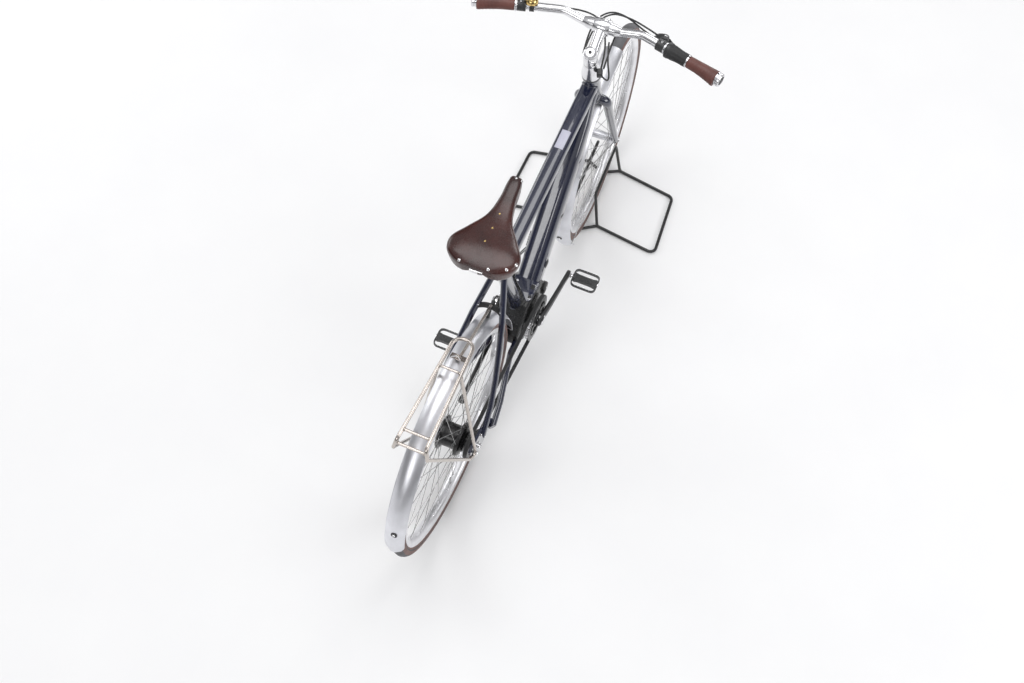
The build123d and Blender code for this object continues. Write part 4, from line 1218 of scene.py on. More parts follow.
def motor_layers(levels):
    """Sections of the motor's outline, each pulled in by its own amount, at places across the bicycle."""
    return [[rear(x, y, z) for x, z in softened(shrunk(MOTOR_OUTLINE, inset), MOTOR_CORNER)]
            for y, inset in levels]


def drive_motor():
    parts = [drawn(motor_layers(((-42, 5), (-39.5, 1.5), (-35, 0), (40, 0), (44, 3))), CASTING),
             drawn(motor_layers(((43.5, 14), (47.5, 14), (50, 17))), CASTING)]
    for x, z in MOTOR_SCREWS:
        parts.append(bolt(rear(x, 47.5, z), LEFT, 4.2, 4.2, CHROME))
    back = softened(MOTOR_OUTLINE, MOTOR_CORNER)[18:50]
    for y in range(-28, 36, 8):
        parts.append(rod([rear(x, y, z) for x, z in back], 2.4, CASTING, 8))
    left_ring = [(12.1, 50), (24, 50), (25, 51), (25, 53), (22, 55), (12.1, 55)]
    right_ring = [(12.1, -42), (25, -42), (25, -46), (23, -48), (12.1, -48)]
    parts += [turned(ring, BB, LEFT, CASTING, 48) for ring in (left_ring, right_ring)]
    sensor = [(538, 292), (566, 296), (572, 318), (556, 338), (536, 326)]
    layers = [[rear(x, y, z) for x, z in softened(shrunk(sensor, inset), 7)]
              for y, inset in ((-36, 0), (-46, 0), (-50, 3))]
    parts += [drawn(layers, PLASTIC), bolt(rear(553, -49.6, 314), -LEFT, 3.4, 2.6, CHROME)]
    joined("drive_motor_casting", parts, "frame", "drive_motor", bevel=0.8, sharp=32)


drive_motor()


# %% The painted plate over the motor
def level_at(x, points):
    """The second number at x, on straight lines through points of two numbers."""
    for (x_a, z_a), (x_b, z_b) in zip(points, points[1:]):
        if x <= x_b:
            break
    return z_a + (z_b - z_a) * (x - x_a) / (x_b - x_a)


def motor_top(x):
    """Height of the motor's upper outline at x."""
    return level_at(x, MOTOR_OUTLINE[2:7])


def motor_shell():
    left_edge = ((440, -29), (487, 16), (508, 34), (523, 35))
    sections = []
    for x in range(440, 524, 4):
        left = level_at(x, left_edge)
        right = -41 + 8 * max(0, (452 - x) / 12)
        z = motor_top(x)
        sections.append([rear(x, left, z - 3), rear(x, left, z + 2.2), rear(x, left - 1.5, z + 3.2),
                         rear(x, right + 1.5, z + 3.2), rear(x, right, z + 2.2), rear(x, right, z - 3)])
    panel = [(505, -21), (505, -35), (449, -40), (445, -31)]

    def above(x, y, lift):
        return rear(x, y, motor_top(x) + lift)

    parts = [drawn(sections, NAVY), plate(softened(panel, 3), above, 3.0, 5.4, POLISHED),
             plate(softened(shrunk(panel, 2.4), 3), above, 5.0, 5.8, BLACK),
             bolt(above(498, 20, 2.6), UP, 3.4, 3.0, POLISHED)]
    joined("motor_shell_painted", parts, "frame", bevel=0.4, sharp=32)


def tube_loop():
    """A ribbed stop on the down tube's left, with a loop of thin rod standing out of it."""
    root, tip = rear(618, 33, 402), rear(560, 42, 428)
    along = (tip - root).normalized()
    aside = along.cross(LEFT).normalized() * 5 * MM
    parts = []
    for n in range(6):
        rib = [(1, -2.6), (7.5, -2.6), (8.4, -1), (8.4, 1), (7.5, 2.6), (1, 2.6)]
        parts.append(turned(rib, rear(616 + 5.4 * n, 36, 402 + 5.5 * n), -DOWN_ALONG, BLACK, 16))
    near_tip = tip - along * 6 * MM
    loop = [root + aside, near_tip + aside, tip + along * 2 * MM, near_tip - aside, root - aside]
    parts.append(bent_rod(loop, [4, 5, 4], 1.7, BLACK, 6, 10))
    joined("down_tube_rod_loop", parts, "frame", sharp=40)


motor_shell()
tube_loop()

# %% [markdown]
# ## Fork, headset cone and stem
# Two tapering blades bend together into the crown. Above the frame a long polished cone fills the
# space up to the stem, which holds the bar. The stem's body is drawn from its round clamp on the
# steerer to its flatter clamp on the bar.

# %% Fork
def slot_outline(length, radius, degrees):
    """A slot's outline about its own middle, turned by so many degrees."""
    turn = Matrix.Rotation(math.radians(degrees), 2)
    points = []
    for centre, begin in ((length / 2, -90), (-length / 2, 90)):
        for n in range(13):
            a = math.radians(begin + 15 * n)
            points.append(tuple(turn @ Vector((centre + radius * math.cos(a), radius * math.sin(a)))))
    return points


def fork():
    parts = []
    for side in (1, -1):
        blade = bent([head(0, side * 4, 383), head(0, side * 41, 383), head(32, side * 53, 26)], 24)
        path = blade[:-1] + [blade[-2].lerp(blade[-1], n / 12) for n in range(1, 13)]
        slim = [1.0] * (len(path) - 12) + [1 - 0.30 * n / 12 for n in range(1, 13)]
        parts.append(rod(path, 14.2, NAVY, 28, radii=slim))
        end = [(36 + x, 13 + z) for x, z in slot_outline(24, 12, 100)]
        parts.append(plate(end, lambda x, z, y: head(x, y, z), side * 50, side * 56, NAVY))
    seat_of_race = [(0, 380), (22, 380), (25.5, 384), (25.5, 389), (24, 390), (0, 390)]
    parts.append(turned(seat_of_race, HEAD_FOOT, HEAD_UP, NAVY, 48))
    joined("fork_painted", parts, "front_assembly", "fork", STEER, sharp=40)


fork()


# %% Headset cone and stem
def stem():
    cone = [(14.36, 537), (25.2, 537), (26.6, 538.6), (26.6, 542), (25.8, 547), (23.6, 562), (20.4, 584),
            (18.4, 597), (17.4, 600), (14.36, 600)]
    joined("headset_cone_polished", [turned(cone, HEAD_FOOT, HEAD_UP, POLISHED, 72)], "front_assembly",
           "headset_cone", STEER, sharp=30)
    collar = [(14.3, 600.2), (18.4, 600.2), (19.2, 602), (19.2, 650), (18.2, 652), (14.3, 652)]
    clamp = band(15.95, 21, -22, 22, 0.8, 1.4)
    cap = [(0, 652.4), (17, 652.4), (17.6, 654), (17.2, 658), (12.2, 660.6), (11.4, 659.2), (10.4, 660.4),
           (5.5, 660.8), (0, 660)]
    start, centre = head(0, 0, 627), rear(966, 0, 976)
    along = (centre - start).normalized()
    length = (centre - start).length / MM
    stations = ((4, 17, 17.5), (20, 16.4, 17.2), (40, 15, 15.5), (length - 22, 15.6, 14.6),
                (length - 4, 19, 16))
    sections = ovals(start, along, LEFT, LEFT.cross(along), stations, 2.3, 36)
    parts = [turned(collar, HEAD_FOOT, HEAD_UP, POLISHED, 64), turned(clamp, centre, LEFT, POLISHED, 56),
             drawn(sections, POLISHED), turned(cap, HEAD_FOOT, HEAD_UP, POLISHED, 56),
             bolt(head(0, 0, 660.2), HEAD_UP, 4.6, 2.4, BLACK)]
    for y in (-14, 14):
        for lift in (13.5, -13.5):
            spot = centre + (LEFT * y + along.cross(LEFT) * lift + along * 15.5) * MM
            parts.append(bolt(spot, along, 3.6, 5.2, CHROME))
    parts += [bolt(head(-15, -4, z), -LEFT, 3.4, 12, CHROME) for z in (612, 640)]
    joined("stem_polished", parts, "front_assembly", "stem", BAR_TURN, sharp=32)


stem()
keep_solid(["cable_guide"], PLASTIC)

# %% [markdown]
# ## Handlebar, grips and controls
# The bar is one bent tube with a swelling where the stem holds it. Everything on its outer lengths
# shares the bar's axis, so a sleeve is a turned part placed by how far out it starts and ends.

# %% Handlebar
BAR_BEND, BAR_END, BAR_BORE, GRIP_END = 108, 338, 11.15, 327


def bar_at(side, y):
    """A place on the bar's straight outer length, y out from the middle."""
    share = (y - BAR_BEND) / (BAR_END - BAR_BEND)
    return rear(969 - 65 * share, side * y, 988 + 2 * share)


def bar_axis(side):
    return (bar_at(side, BAR_END) - bar_at(side, BAR_BEND)).normalized()


def sleeve(side, outline, look, sides=40):
    """A turned part on the bar, its outline given as (radius, distance from the middle)."""
    axis = bar_axis(side)
    stretch = 1 / abs(axis.y)
    return turned([(r, y * stretch) for r, y in outline], bar_at(side, 0), axis, look, sides)


def handlebar():
    right = [(904, -BAR_END, 990), (969, -BAR_BEND, 988), (966, -52, 976)]
    corners = [rear(*spot) for spot in right] + [rear(x, -y, z) for x, y, z in right[::-1]]
    tube = rod(divided(bent(corners, [70, 50, 50, 70], 0.08), 12), 11.1, POLISHED, 28)
    swell = mirrored([(10.5, -52), (11.2, -52), (12.5, -47), (15.9, -36)])
    parts = [tube, turned(swell, rear(966, 0, 976), LEFT, POLISHED, 48)]
    joined("handlebar_polished", parts, "front_assembly", "handlebar", BAR_TURN, sharp=40)


handlebar()

# %% [markdown]
# Leather grips are round at their inner ends and spread backwards into a palm rest at their outer
# ends. Each is drawn through many sections whose rear side reaches further and further, and a row of
# stitches closes the hide underneath.

# %% Grips
def grip(name, side, inner, replaced):
    steps, around = 44, 40
    axis = bar_axis(side)
    back = axis.cross(UP).normalized() * side
    back = back if back.x < 0 else -back
    upward = axis.cross(back)
    upward = upward if upward.z > 0 else -upward
    sections = []
    for n in range(steps + 1):
        t = n / steps
        middle = bar_at(side, 0) + axis * (inner + (GRIP_END - inner) * t) / abs(axis.y) * MM
        wing = 6.5 * max(0.0, (t - 0.3) / 0.7) ** 1.5
        base = 15.6 + 2.6 * t * t + 0.5 * math.sin(math.pi * t) - (1.4 if n in (0, steps) else 0)

        def reach(k, a):
            behind = math.cos(a - 0.25)
            rib = 0.35 if t > 0.5 and n % 4 < 2 and behind > 0.2 else 0
            return base + wing * max(0.0, behind) ** 3 + rib

        sections.append(ring_of(middle, back, -upward, reach, around))
    parts = [drawn(sections, GRIP_HIDE)]
    for n in range(2, steps - 1, 2):
        stitch, following = sections[n][12], sections[n + 1][12]
        parts.append(rod([stitch, stitch.lerp(following, 1.1)], 0.5, PLASTIC, 6))
    joined(name, parts, "front_assembly", replaced, BAR_TURN, sharp=50)


grip("grip_left_leather", 1, 232, "grip_left")
grip("grip_right_leather", -1, 246, "grip_right")


# %% Rings, end caps and twist shifter
def grip_rings():
    parts = []
    for side, inner in ((1, 228), (-1, 242)):
        ring = band(BAR_BORE, 17.4, inner, inner + 4, 0.6, 0.6)
        cap = [(12.4, GRIP_END), (17.6, GRIP_END), (18.4, 328), (18.4, 331), (16.6, 332), (16.6, 334),
               (18.0, 335), (17.6, 339.6), (16.4, 341), (12.4, 340.6)]
        middle = [(0, GRIP_END), (12.5, GRIP_END), (12.5, 339.4), (11.5, 340), (0, 339.6)]
        parts += [sleeve(side, ring, POLISHED), sleeve(side, cap, POLISHED, 48)]
        parts.append(sleeve(side, middle, PLASTIC))
        for y, lift, height in ((inner + 2, 16.5, 2.2), (GRIP_END + 2.5, 17.8, 2.0)):
            parts.append(bolt(bar_at(side, y) + UP * lift * MM, UP, 1.9, height, BLACK))
    parts.append(sleeve(-1, band(BAR_BORE, 21, 183, 192), BLACK, 56))
    joined("grip_lock_rings", parts, "front_assembly", "grip_rings", BAR_TURN, sharp=30)


def twist_shifter():
    """Ribbed twist grip, widest toward the lever."""
    side, steps, around = -1, 25, 72
    axis = bar_axis(side)
    sections = []
    for n in range(steps + 1):
        t = n / steps
        middle = bar_at(side, 0) + axis * (192 + 50 * t) / abs(axis.y) * MM
        base = 20.0 - 4.0 * math.sin(math.pi * min(1, t * 1.15) * 0.5) + 2.2 * max(0, t - 0.6)
        rib = 0.7 if 0.14 < t < 0.9 else 0
        sections.append(ring_of(middle, *across(axis), lambda k, a: base + (rib if k % 6 < 3 else 0), around))
    joined("twist_shifter_grip", [drawn(sections, RUBBER)], "front_assembly", "twist_shifter",
           BAR_TURN, sharp=40)


grip_rings()
twist_shifter()

# %% [markdown]
# Each brake lever is a band round the bar, a short neck, a housing for the pivot and a long flat blade
# that curves out in front of the grip and ends in a ball for safety.

# %% Brake levers
LEVER_NECK = ((-16, 8, 7), (-8, 9.5, 7), (6, 10, 6.5), (17, 11, 6))
LEVER_HOUSING = ((-17, 12, 6), (-14, 16.5, 7.6), (0, 18, 8), (11, 17, 7.6), (16, 13, 6), (17, 9, 4.5))


def lever_clamps():
    parts = []
    for side, y_a, y_b in ((1, 204, 226), (-1, 154, 176)):
        parts.append(sleeve(side, band(BAR_BORE, 15.5, y_a, y_b, 0.7), BLACK))
        middle = bar_at(side, (y_a + y_b) / 2)
        turn = Matrix.Rotation(math.radians(-side * 16), 3, "Z") @ Matrix.Rotation(math.radians(20), 3, "Y")
        ahead, aside, upward = turn @ Vector((1, 0, 0)), turn @ LEFT, turn @ UP
        neck = middle + Vector((22, 0, -9)) * MM
        body = middle + Vector((38, -side * 8, -14)) * MM
        parts.append(drawn(ovals(neck, ahead, aside, upward, LEVER_NECK, 3, 24), BLACK))
        parts.append(drawn(ovals(body, ahead, aside, upward, LEVER_HOUSING, 3.2, 28), BLACK))
        parts.append(bolt(body + (upward * 7.4 + aside * side * 8) * MM, upward, 4.4, 3.4, CHROME))
        parts.append(bolt(neck + (upward * 6.6 - ahead * 8) * MM, upward, 3.2, 3.0, CHROME))
        barrel = [(1.5, -2), (4.2, -2), (4.2, 6), (3.2, 8), (3.2, 13), (1.5, 13)]
        parts.append(turned(barrel, body - aside * side * 17 * MM, -aside * side, BLACK, 16))
        adjuster = [(1.5, 0), (3.4, 0), (3.4, 7), (2.6, 9), (2.6, 13), (1.5, 13)]
        foot = body + (ahead * 12 - aside * side * 6) * MM
        parts.append(turned(adjuster, foot, -aside * side, CHROME, 16))
        parts.append(sleeve(side, band(11.2, 15.8, y_b, y_b + 4.8), POLISHED))
        parts.append(bolt(middle + (UP * 15.2 - ahead * 4) * MM, UP, 3.0, 4.2, CHROME))
    joined("lever_clamp_bodies", parts, "front_assembly", "lever_clamps", BAR_TURN, sharp=32)


def lever_blade(name, side, y, replaced):
    corners = ((44, 0, -16), (38, side * 26, -34), (0, side * 132, -56))
    path = divided(bent([bar_at(side, y) + Vector(spot) * MM for spot in corners], 30), 6)
    count = len(path) - 1
    sections = carried(path, UP, [5.8 - 1.2 * n / count for n in range(count + 1)],
                       [2.9 - 0.4 * n / count for n in range(count + 1)], 2.6)
    parts = [drawn(sections, BLACK), ball(path[-1], 6, BLACK, 20, 0.9)]
    joined(name, parts, "front_assembly", replaced, BAR_TURN, sharp=50)


lever_clamps()
lever_blade("brake_lever_left_blade", 1, 206, "brake_lever_left")
lever_blade("brake_lever_right_blade", -1, 172, "brake_lever_right")


# %% [markdown]
# The bell is a small brass dome, turned from its profile with a real wall, on a clamp with a striker.

# %% Bell
def bell():
    middle = bar_at(1, 189)
    top = middle + Vector((-3, 0, 20)) * MM
    dome = [(16.4, -0.5), (17, 0), (16.7, 3.4), (14.8, 8.2), (11.6, 12.2), (6.5, 15.6), (0, 17), (0, 15.8),
            (6, 14.4), (11, 11.2), (14, 7.4), (15.8, 3), (16, -0.3)]
    striker = [top + Vector(spot) * MM for spot in ((-4, 15, -3), (-10, 20, 2), (-16, 20, 4))]
    parts = [turned(dome, top, UP, BRASS, 48), bolt(top + UP * 16.8 * MM, UP, 3, 1.6, BRASS),
             sleeve(1, [(BAR_BORE, 183), (14, 183), (14, 195), (BAR_BORE, 195)], BLACK),
             rod([middle + UP * 11 * MM, top], 4, BLACK), rod(striker, 2, BLACK, 12)]
    joined("bell_brass", parts, "front_assembly", "bell", BAR_TURN, sharp=40)


bell()

# %% [markdown]
# Cable housings are stiff and springy: they leave the levers, sweep forward in wide arcs and come back
# to a guide on the steerer. A NURBS curve through the air with a few control points bends like that by
# itself, and a round bevel gives it its thickness.

# %% Control cables
CABLE_ROUTES = [
    ((984, -150, 970), (1012, -96, 962), (1040, -38, 962), (1040, 10, 958), (985, 40, 950), (905, 26, 925)),
    ((990, -158, 978), (1020, -90, 972), (1030, -30, 970), (1022, 0, 968), (985, 27, 960), (915, 24, 940)),
    ((963, 196, 968), (998, 112, 966), (1022, 50, 950), (1008, 10, 942), (938, -26, 924), (892, -30, 897)),
    ((978, -168, 965), (1004, -76, 952), (1004, -34, 948), (950, -33, 932), (896, -37, 903)),
    ((935, -31, 962), (893, -44, 945), (858, -66, 922), (862, -58, 900), (880, -38, 894))]


def control_cables():
    curve = bpy.data.curves.new("control_cable_housings", "CURVE")
    curve.dimensions = "3D"
    curve.bevel_depth = 2.3 * MM
    curve.bevel_resolution = 4
    curve.resolution_u = 10
    curve.use_fill_caps = True
    for route in CABLE_ROUTES:
        spline = curve.splines.new("NURBS")
        spline.points.add(len(route) - 1)
        for point, spot in zip(spline.points, route):
            point.co = (*rear(*spot), 1)
        spline.order_u = 3
        spline.use_endpoint_u = True
    curve.materials.append(CABLE)
    cables = bpy.data.objects.new("control_cable_housings", curve)
    bpy.context.scene.collection.objects.link(cables)
    settle(cables, "front_assembly", "control_cables")


control_cables()

# %% [markdown]
# ## Saddle
# The saddle is one thick hide stretched between a cantle plate and its nose, so it is not a cushion:
# it crowns, rolls over at the shoulders and falls in a skirt. A table gives its half width, height and
# drop at a few places from back to front, smooth curves fill in between, and one level of subdivision
# rounds the rest. The rivets and a blank plate close its back.

# %% Saddle hide
SADDLE_REAR = REAR_HUB.x / MM + 163
SADDLE_TURN = Matrix.Translation(LEFT * 6 * MM) @ turned_about(seat(0, 0, 655), UP, 2.5)
SADDLE_STATIONS = [(0, 36, 974, 24), (8, 60, 978, 36), (26, 83, 984, 45), (60, 89, 986, 50),
                   (102, 66, 980, 52), (152, 34, 977, 50), (206, 21, 981, 46), (250, 18, 987, 42),
                   (270, 14, 986, 34)]


def saddle(x, y, z):
    """A place on the saddle, x ahead of its rear edge."""
    return Vector(((SADDLE_REAR + x) * MM, y * MM, z * MM))


def eased(table, x):
    """The table's row at x, by smooth curves through its rows."""
    for n in range(len(table) - 1):
        if x <= table[n + 1][0]:
            break
    rows = [table[max(0, min(len(table) - 1, n + k))] for k in (-1, 0, 1, 2)]
    (x0, *a), (x1, *b), (x2, *c), (x3, *d) = rows
    t = (x - x1) / (x2 - x1)
    row = []
    for before, start, end, after in zip(a, b, c, d):
        leaving = (end - before) / (x2 - x0) * (x2 - x1)
        arriving = (after - start) / (x3 - x1) * (x2 - x1)
        row.append((2 * t ** 3 - 3 * t ** 2 + 1) * start + (t ** 3 - 2 * t ** 2 + t) * leaving
                   + (3 * t ** 2 - 2 * t ** 3) * end + (t ** 3 - t ** 2) * arriving)
    return row


SHOULDER = 0.62


def saddle_spot(x, share, inset=0.0):
    """A place on the hide at x, share going from -1 at the right skirt to 1 at the left one."""
    half, crown, drop = eased(SADDLE_STATIONS, x)
    half, crown = half - inset, crown - inset
    a = abs(share)
    if a <= SHOULDER:
        top = a / SHOULDER
        y = half * 0.985 * math.sin(top * math.pi / 2) ** 1.12
        z = crown - drop * 0.30 * top ** 3.2
    else:
        fall = (a - SHOULDER) / (1 - SHOULDER)
        y = half * (1 - 0.09 * fall ** 1.5)
        z = crown - drop * (0.30 + 0.70 * fall)
    return saddle(x, math.copysign(y, share), z)


def saddle_hide():
    shares = [n / 20 - 1 for n in range(41)]
    sections = [[saddle_spot(x, s) for s in shares] + [saddle_spot(x, s, 4.6) for s in reversed(shares)]
                for x in [0, 2, 4, 8, 12] + list(range(18, 268, 6)) + [270]]
    joined("saddle_hide", [drawn(sections, LEATHER)], "frame", "saddle_leather", SADDLE_TURN,
           smooth=1, sharp=80)


saddle_hide()


# %% Saddle rivets, rails and post
def saddle_trim():
    parts = []
    rivet = [(0, -0.6), (3.9, -0.6), (3.9, 0.5), (3.2, 1.1), (1.8, 1.5), (0, 1.6)]
    rear_rivets = ((38, 0.76), (6, 0.38), (6, -0.23), (20, -0.44), (40, -0.52))
    for x, share in rear_rivets + ((262, 0.0), (262, 0.5), (262, -0.5)):
        slope = Vector((-0.6 + x / 110 if x < 100 else 0.5, share * (0.8 + abs(share)), 1)).normalized()
        parts.append(turned(rivet, saddle_spot(x, share), slope, CHROME, 24))
    eyelet = [(0, -0.4), (2.3, -0.4), (2.3, 0.3), (1.9, 0.6), (1.3, 0.5), (0.9, 0.1), (0, 0.1)]
    for x in (70, 114, 158):
        parts.append(turned(eyelet, saddle_spot(x, 0.03), UP, BRASS, 20))
    arc = [saddle(-1.2 + 0.003 * y * y, y, 958.5) for y in range(-16, 17, 2)]
    sections = [[spot + Vector((0, 0, 5.5)) * MM, spot + Vector((-0.9, 0, 5.2)) * MM,
                 spot + Vector((-0.9, 0, -5.2)) * MM, spot + Vector((0, 0, -5.5)) * MM] for spot in arc]
    parts.append(drawn(sections, CHROME))
    joined("saddle_rivets", parts, "frame", None, SADDLE_TURN, sharp=40)


def saddle_rails():
    parts = []
    for side in (1, -1):
        corners = ((22, side * 42, 952), (74, side * 22, 930), (170, side * 22, 928), (246, side * 8, 958))
        parts.append(bent_rod([saddle(*spot) for spot in corners], 22, 3.5, CHROME, 10))
    cantle = [saddle(24 - 0.0028 * y * y, y, 952 - 0.0012 * y * y) for y in range(-48, 49, 8)]
    parts.append(drawn(carried(cantle, UP, [6.2] * 13, [3.7] * 13, 2.4), CHROME))
    parts.append(rod([saddle(244, 0, 958), saddle(250, 0, 960), saddle(258, 0, 966)], 7, CHROME))
    parts.append(rod([saddle(226, 0, 957), saddle(256, 0, 961)], 3.6, BLACK))
    joined("saddle_rail_rods", parts, "frame", "saddle_rails", SADDLE_TURN, sharp=50)


def seat_post():
    stations = [(z, 13.6, 13.6) for z in (352, 500, 646, 655)]
    parts = [drawn(ovals(BB, SEAT_UP, LEFT, SEAT_AHEAD, stations, 2, 40), POLISHED)]
    cut_corners = ((-1, -0.8), (-0.8, -1), (0.8, -1), (1, -0.8), (1, 0.8), (0.8, 1), (-0.8, 1), (-1, 0.8))
    for low, high, half_y in ((921.5, 928, 27), (929, 936.5, 30)):
        outline = [(a * 22, b * half_y) for a, b in cut_corners]
        parts.append(plate(outline, lambda x, y, z: SADDLE_TURN @ saddle(108 + x, y, z), low, high, POLISHED))
    for x in (-14, 14):
        parts.append(bolt(SADDLE_TURN @ saddle(108 + x, 0, 915), -UP, 4, 5, CHROME))
        ends = [SADDLE_TURN @ saddle(108 + x, 0, z) for z in (914, 930)]
        parts.append(rod(ends, 2.8, CHROME, 12))
    parts.append(rod([SADDLE_TURN @ saddle(108, y, 917) for y in (-20, 20)], 4, CHROME))
    joined("seat_post_polished", parts, "frame", "seat_post", bevel=0.5, sharp=40)


saddle_trim()
saddle_rails()
seat_post()

# %% [markdown]
# ## Rack
# The rack is stainless tube of one thickness: a long loop, two cross bars, a small arch and four
# struts. Cross bars end on the loop in tiny weld beads. A rod with a plate and a wing nut ties the
# platform to the seat tube.

# %% Rack
def rail_at(x, side):
    """A place on a rail's middle line. The rails spread and rise toward the back."""
    ahead = 100 - x
    return rear(x, side * (26.5 + 0.0348 * ahead), 733.5 + 0.0309 * ahead)


def rack():
    loop = [rear(-217, 44, 708), rail_at(-207, 1), rail_at(100, 1), rail_at(100, -1), rail_at(-207, -1),
            rear(-217, -44, 708)]
    parts = [bent_rod(loop, [16, 26, 26, 16], 5, RACK_STEEL, 20, 20)]
    for a, b in ((rail_at(-179, 1), rail_at(-179, -1)), (rear(-211, 39, 727), rear(-211, -39, 727))):
        parts.append(rod(divided([a, b], 12), 4, RACK_STEEL, 18))
        for end, inward in ((a, -LEFT), (b, LEFT)):
            parts.append(weld(hoop(end + inward * 5.4 * MM, LEFT, 4.6, 20), 1.2, 3, RACK_STEEL))
    arch = [rear(6, y, z) for y, z in ((29.8, 736), (22.6, 744), (-22.6, 744), (-29.8, 736))]
    parts.append(bent_rod(arch, 6, 3.5, RACK_STEEL, 8))
    parts += [ball(rear(-217, side * 44, 708), 5, RACK_STEEL) for side in (1, -1)]
    joined("rack_platform_tubes", parts, "frame", "rack_platform", sharp=50)


def rack_struts():
    front_corners = ((3, 31.5, 731), (-30, 83, 388), (-44, 83.5, 384), (-60, 81, 396))
    fronts, rears = [], []
    for side in (1, -1):
        corners = [rear(x, side * y, z) for x, y, z in front_corners]
        fronts.append(bent_rod(corners, 9, 4.5, RACK_STEEL, 30, 20))
        ends = [rear(-62, side * 80.8, 398), rear(-217, side * 44, 708)]
        rears.append(rod(divided(ends, 30), 4.5, RACK_STEEL, 20))
    joined("rack_front_struts", fronts, "frame", "rack_struts_front", sharp=50)
    joined("rack_rear_struts", rears, "frame", "rack_struts_rear", sharp=50)


def rack_tie():
    bar = rod(divided([rear(55, -3, 717), rear(249, -3, 665.3)], 20), 4, RACK_STEEL)
    corners = softened([(-7.5, -20), (7.5, -20), (7.5, 20), (-7.5, 20)], 2)
    parts = [bar, plate(corners, lambda x, y, z: rear(55 + x, y, z - 0.14 * x), 716.5, 719.5, RACK_STEEL),
             bolt(rear(55, 3, 719), UP, 5, 5, RACK_STEEL),
             turned([(0, 0), (6, 0), (6, 9), (0, 9)], rear(55, 3, 708), UP, BLACK, 20)]
    for way in (1, -1):
        wing = [rear(55, 3, 723), rear(50, 3 + way * 7, 726), rear(46, 3 + way * 12, 728)]
        parts.append(drawn(carried(wing, UP, [2.6, 3.4, 2.2], [1.3, 1.5, 1.1]), CHROME))
    joined("rack_tie_rod", parts, "frame", "rack_tie", sharp=50)


rack()
rack_struts()
rack_tie()

# %% [markdown]
# ## Belt drive
# A toothed belt runs silently where a chain would need oil. Its pitch line is two arcs and two straight
# runs. Both wheels have bare metal grooves between black faces, and the front one has five windows.
# One groove's width of a wheel is drawn and copied round, which keeps the teeth exactly even.

# %% Belt wheels
BELT_Y, BELT_PITCH, FRONT_TEETH, REAR_TEETH = -56, 11.0, 40, 24
FRONT_PITCH_R = FRONT_TEETH * BELT_PITCH / (2 * math.pi)
REAR_PITCH_R = REAR_TEETH * BELT_PITCH / (2 * math.pi)
GROOVE = (0.0, 0.0, 0.0, 0.35, 2.6, 3.0, 2.6, 0.35, 0.0)


def belt_wheel(name, centre, teeth, bore, body, replaced, arms):
    pitch_r = teeth * BELT_PITCH / (2 * math.pi)
    inner = 0.78 * pitch_r if arms else bore
    sections = []
    for n, deep in enumerate(GROOVE):
        out = circle(Vector(), 1, 360 / teeth * n / 8) / MM
        tip = pitch_r - 1.2 - deep
        outline = ((inner, -50.5), (tip, -50.5), (tip, -61.5), (pitch_r + 1.6, -61.5), (pitch_r + 1.6, -62.9),
                   (inner, -62.9))
        sections.append([centre + (out * r + LEFT * y) * MM for r, y in outline])
    toothed = copied_round(drawn(sections, BLACK, caps=False), teeth, centre, -LEFT)

    def on_teeth(spot):
        radius = Vector((spot.x - centre.x, 0, spot.z - centre.z)).length / MM
        return pitch_r - 4.6 < radius < pitch_r - 0.9 and -61.2 < spot.y / MM < -50.8

    give(toothed, POLISHED, on_teeth)
    parts = [toothed]
    if arms:
        boss = [(bore, -50.5), (27, -50.5), (27, -62.9), (24, -64.2), (bore, -64.2)]
        parts.append(turned(boss, centre, LEFT, BLACK, 64))
        outline = softened([(22, -12), (42, -8), (inner + 3, -15), (inner + 3, 15), (42, 8), (22, 12)], 8)
        arm = plate(outline, lambda a, b, y: centre + Vector((a, y, b)) * MM, -60.5, -53, BLACK)
        parts.append(copied_round(arm, arms, centre, LEFT))
        screw = bolt(centre + Vector((0.66 * pitch_r, -60.4, 0)) * MM, -LEFT, 4.2, 2.6, CHROME)
        parts.append(copied_round(screw, arms, centre, LEFT))
    joined(name, parts, body, replaced, sharp=30)


belt_wheel("front_belt_wheel_black", BB, FRONT_TEETH, 12.05, "crankset", "front_belt_wheel", 5)
belt_wheel("rear_belt_wheel_black", REAR_HUB, REAR_TEETH, 14.05, "rear_wheel", "rear_belt_wheel", 0)


# %% Belt
def belt_line():
    """The belt's closed pitch line as (x, z, outward x, outward z), in steps of about a millimetre."""
    front_x, front_z = BB.x / MM, BB.z / MM
    rear_x, rear_z = REAR_HUB.x / MM, REAR_HUB.z / MM
    tilt = math.atan2(front_z - rear_z, front_x - rear_x)
    flare = math.asin((FRONT_PITCH_R - REAR_PITCH_R) / math.hypot(front_x - rear_x, front_z - rear_z))
    high, low = tilt + math.pi / 2 + flare, tilt - math.pi / 2 - flare

    def arc(x, z, r, begin, end):
        parts = round(r * abs(end - begin))
        angles = [begin + (end - begin) * n / parts for n in range(parts + 1)]
        return [(x + r * math.cos(a), z + r * math.sin(a), math.cos(a), math.sin(a)) for a in angles]

    ends = (arc(front_x, front_z, FRONT_PITCH_R, high, low),
            arc(rear_x, rear_z, REAR_PITCH_R, low, high - 2 * math.pi))
    line = []
    for end, following in zip(ends, ends[::-1]):
        line += end
        (x_a, z_a, out_x, out_z), (x_b, z_b, *_) = end[-1], following[0]
        parts = round(math.hypot(x_b - x_a, z_b - z_a))
        line += [(x_a + (x_b - x_a) * n / parts, z_a + (z_b - z_a) * n / parts, out_x, out_z)
                 for n in range(1, parts)]
    return line


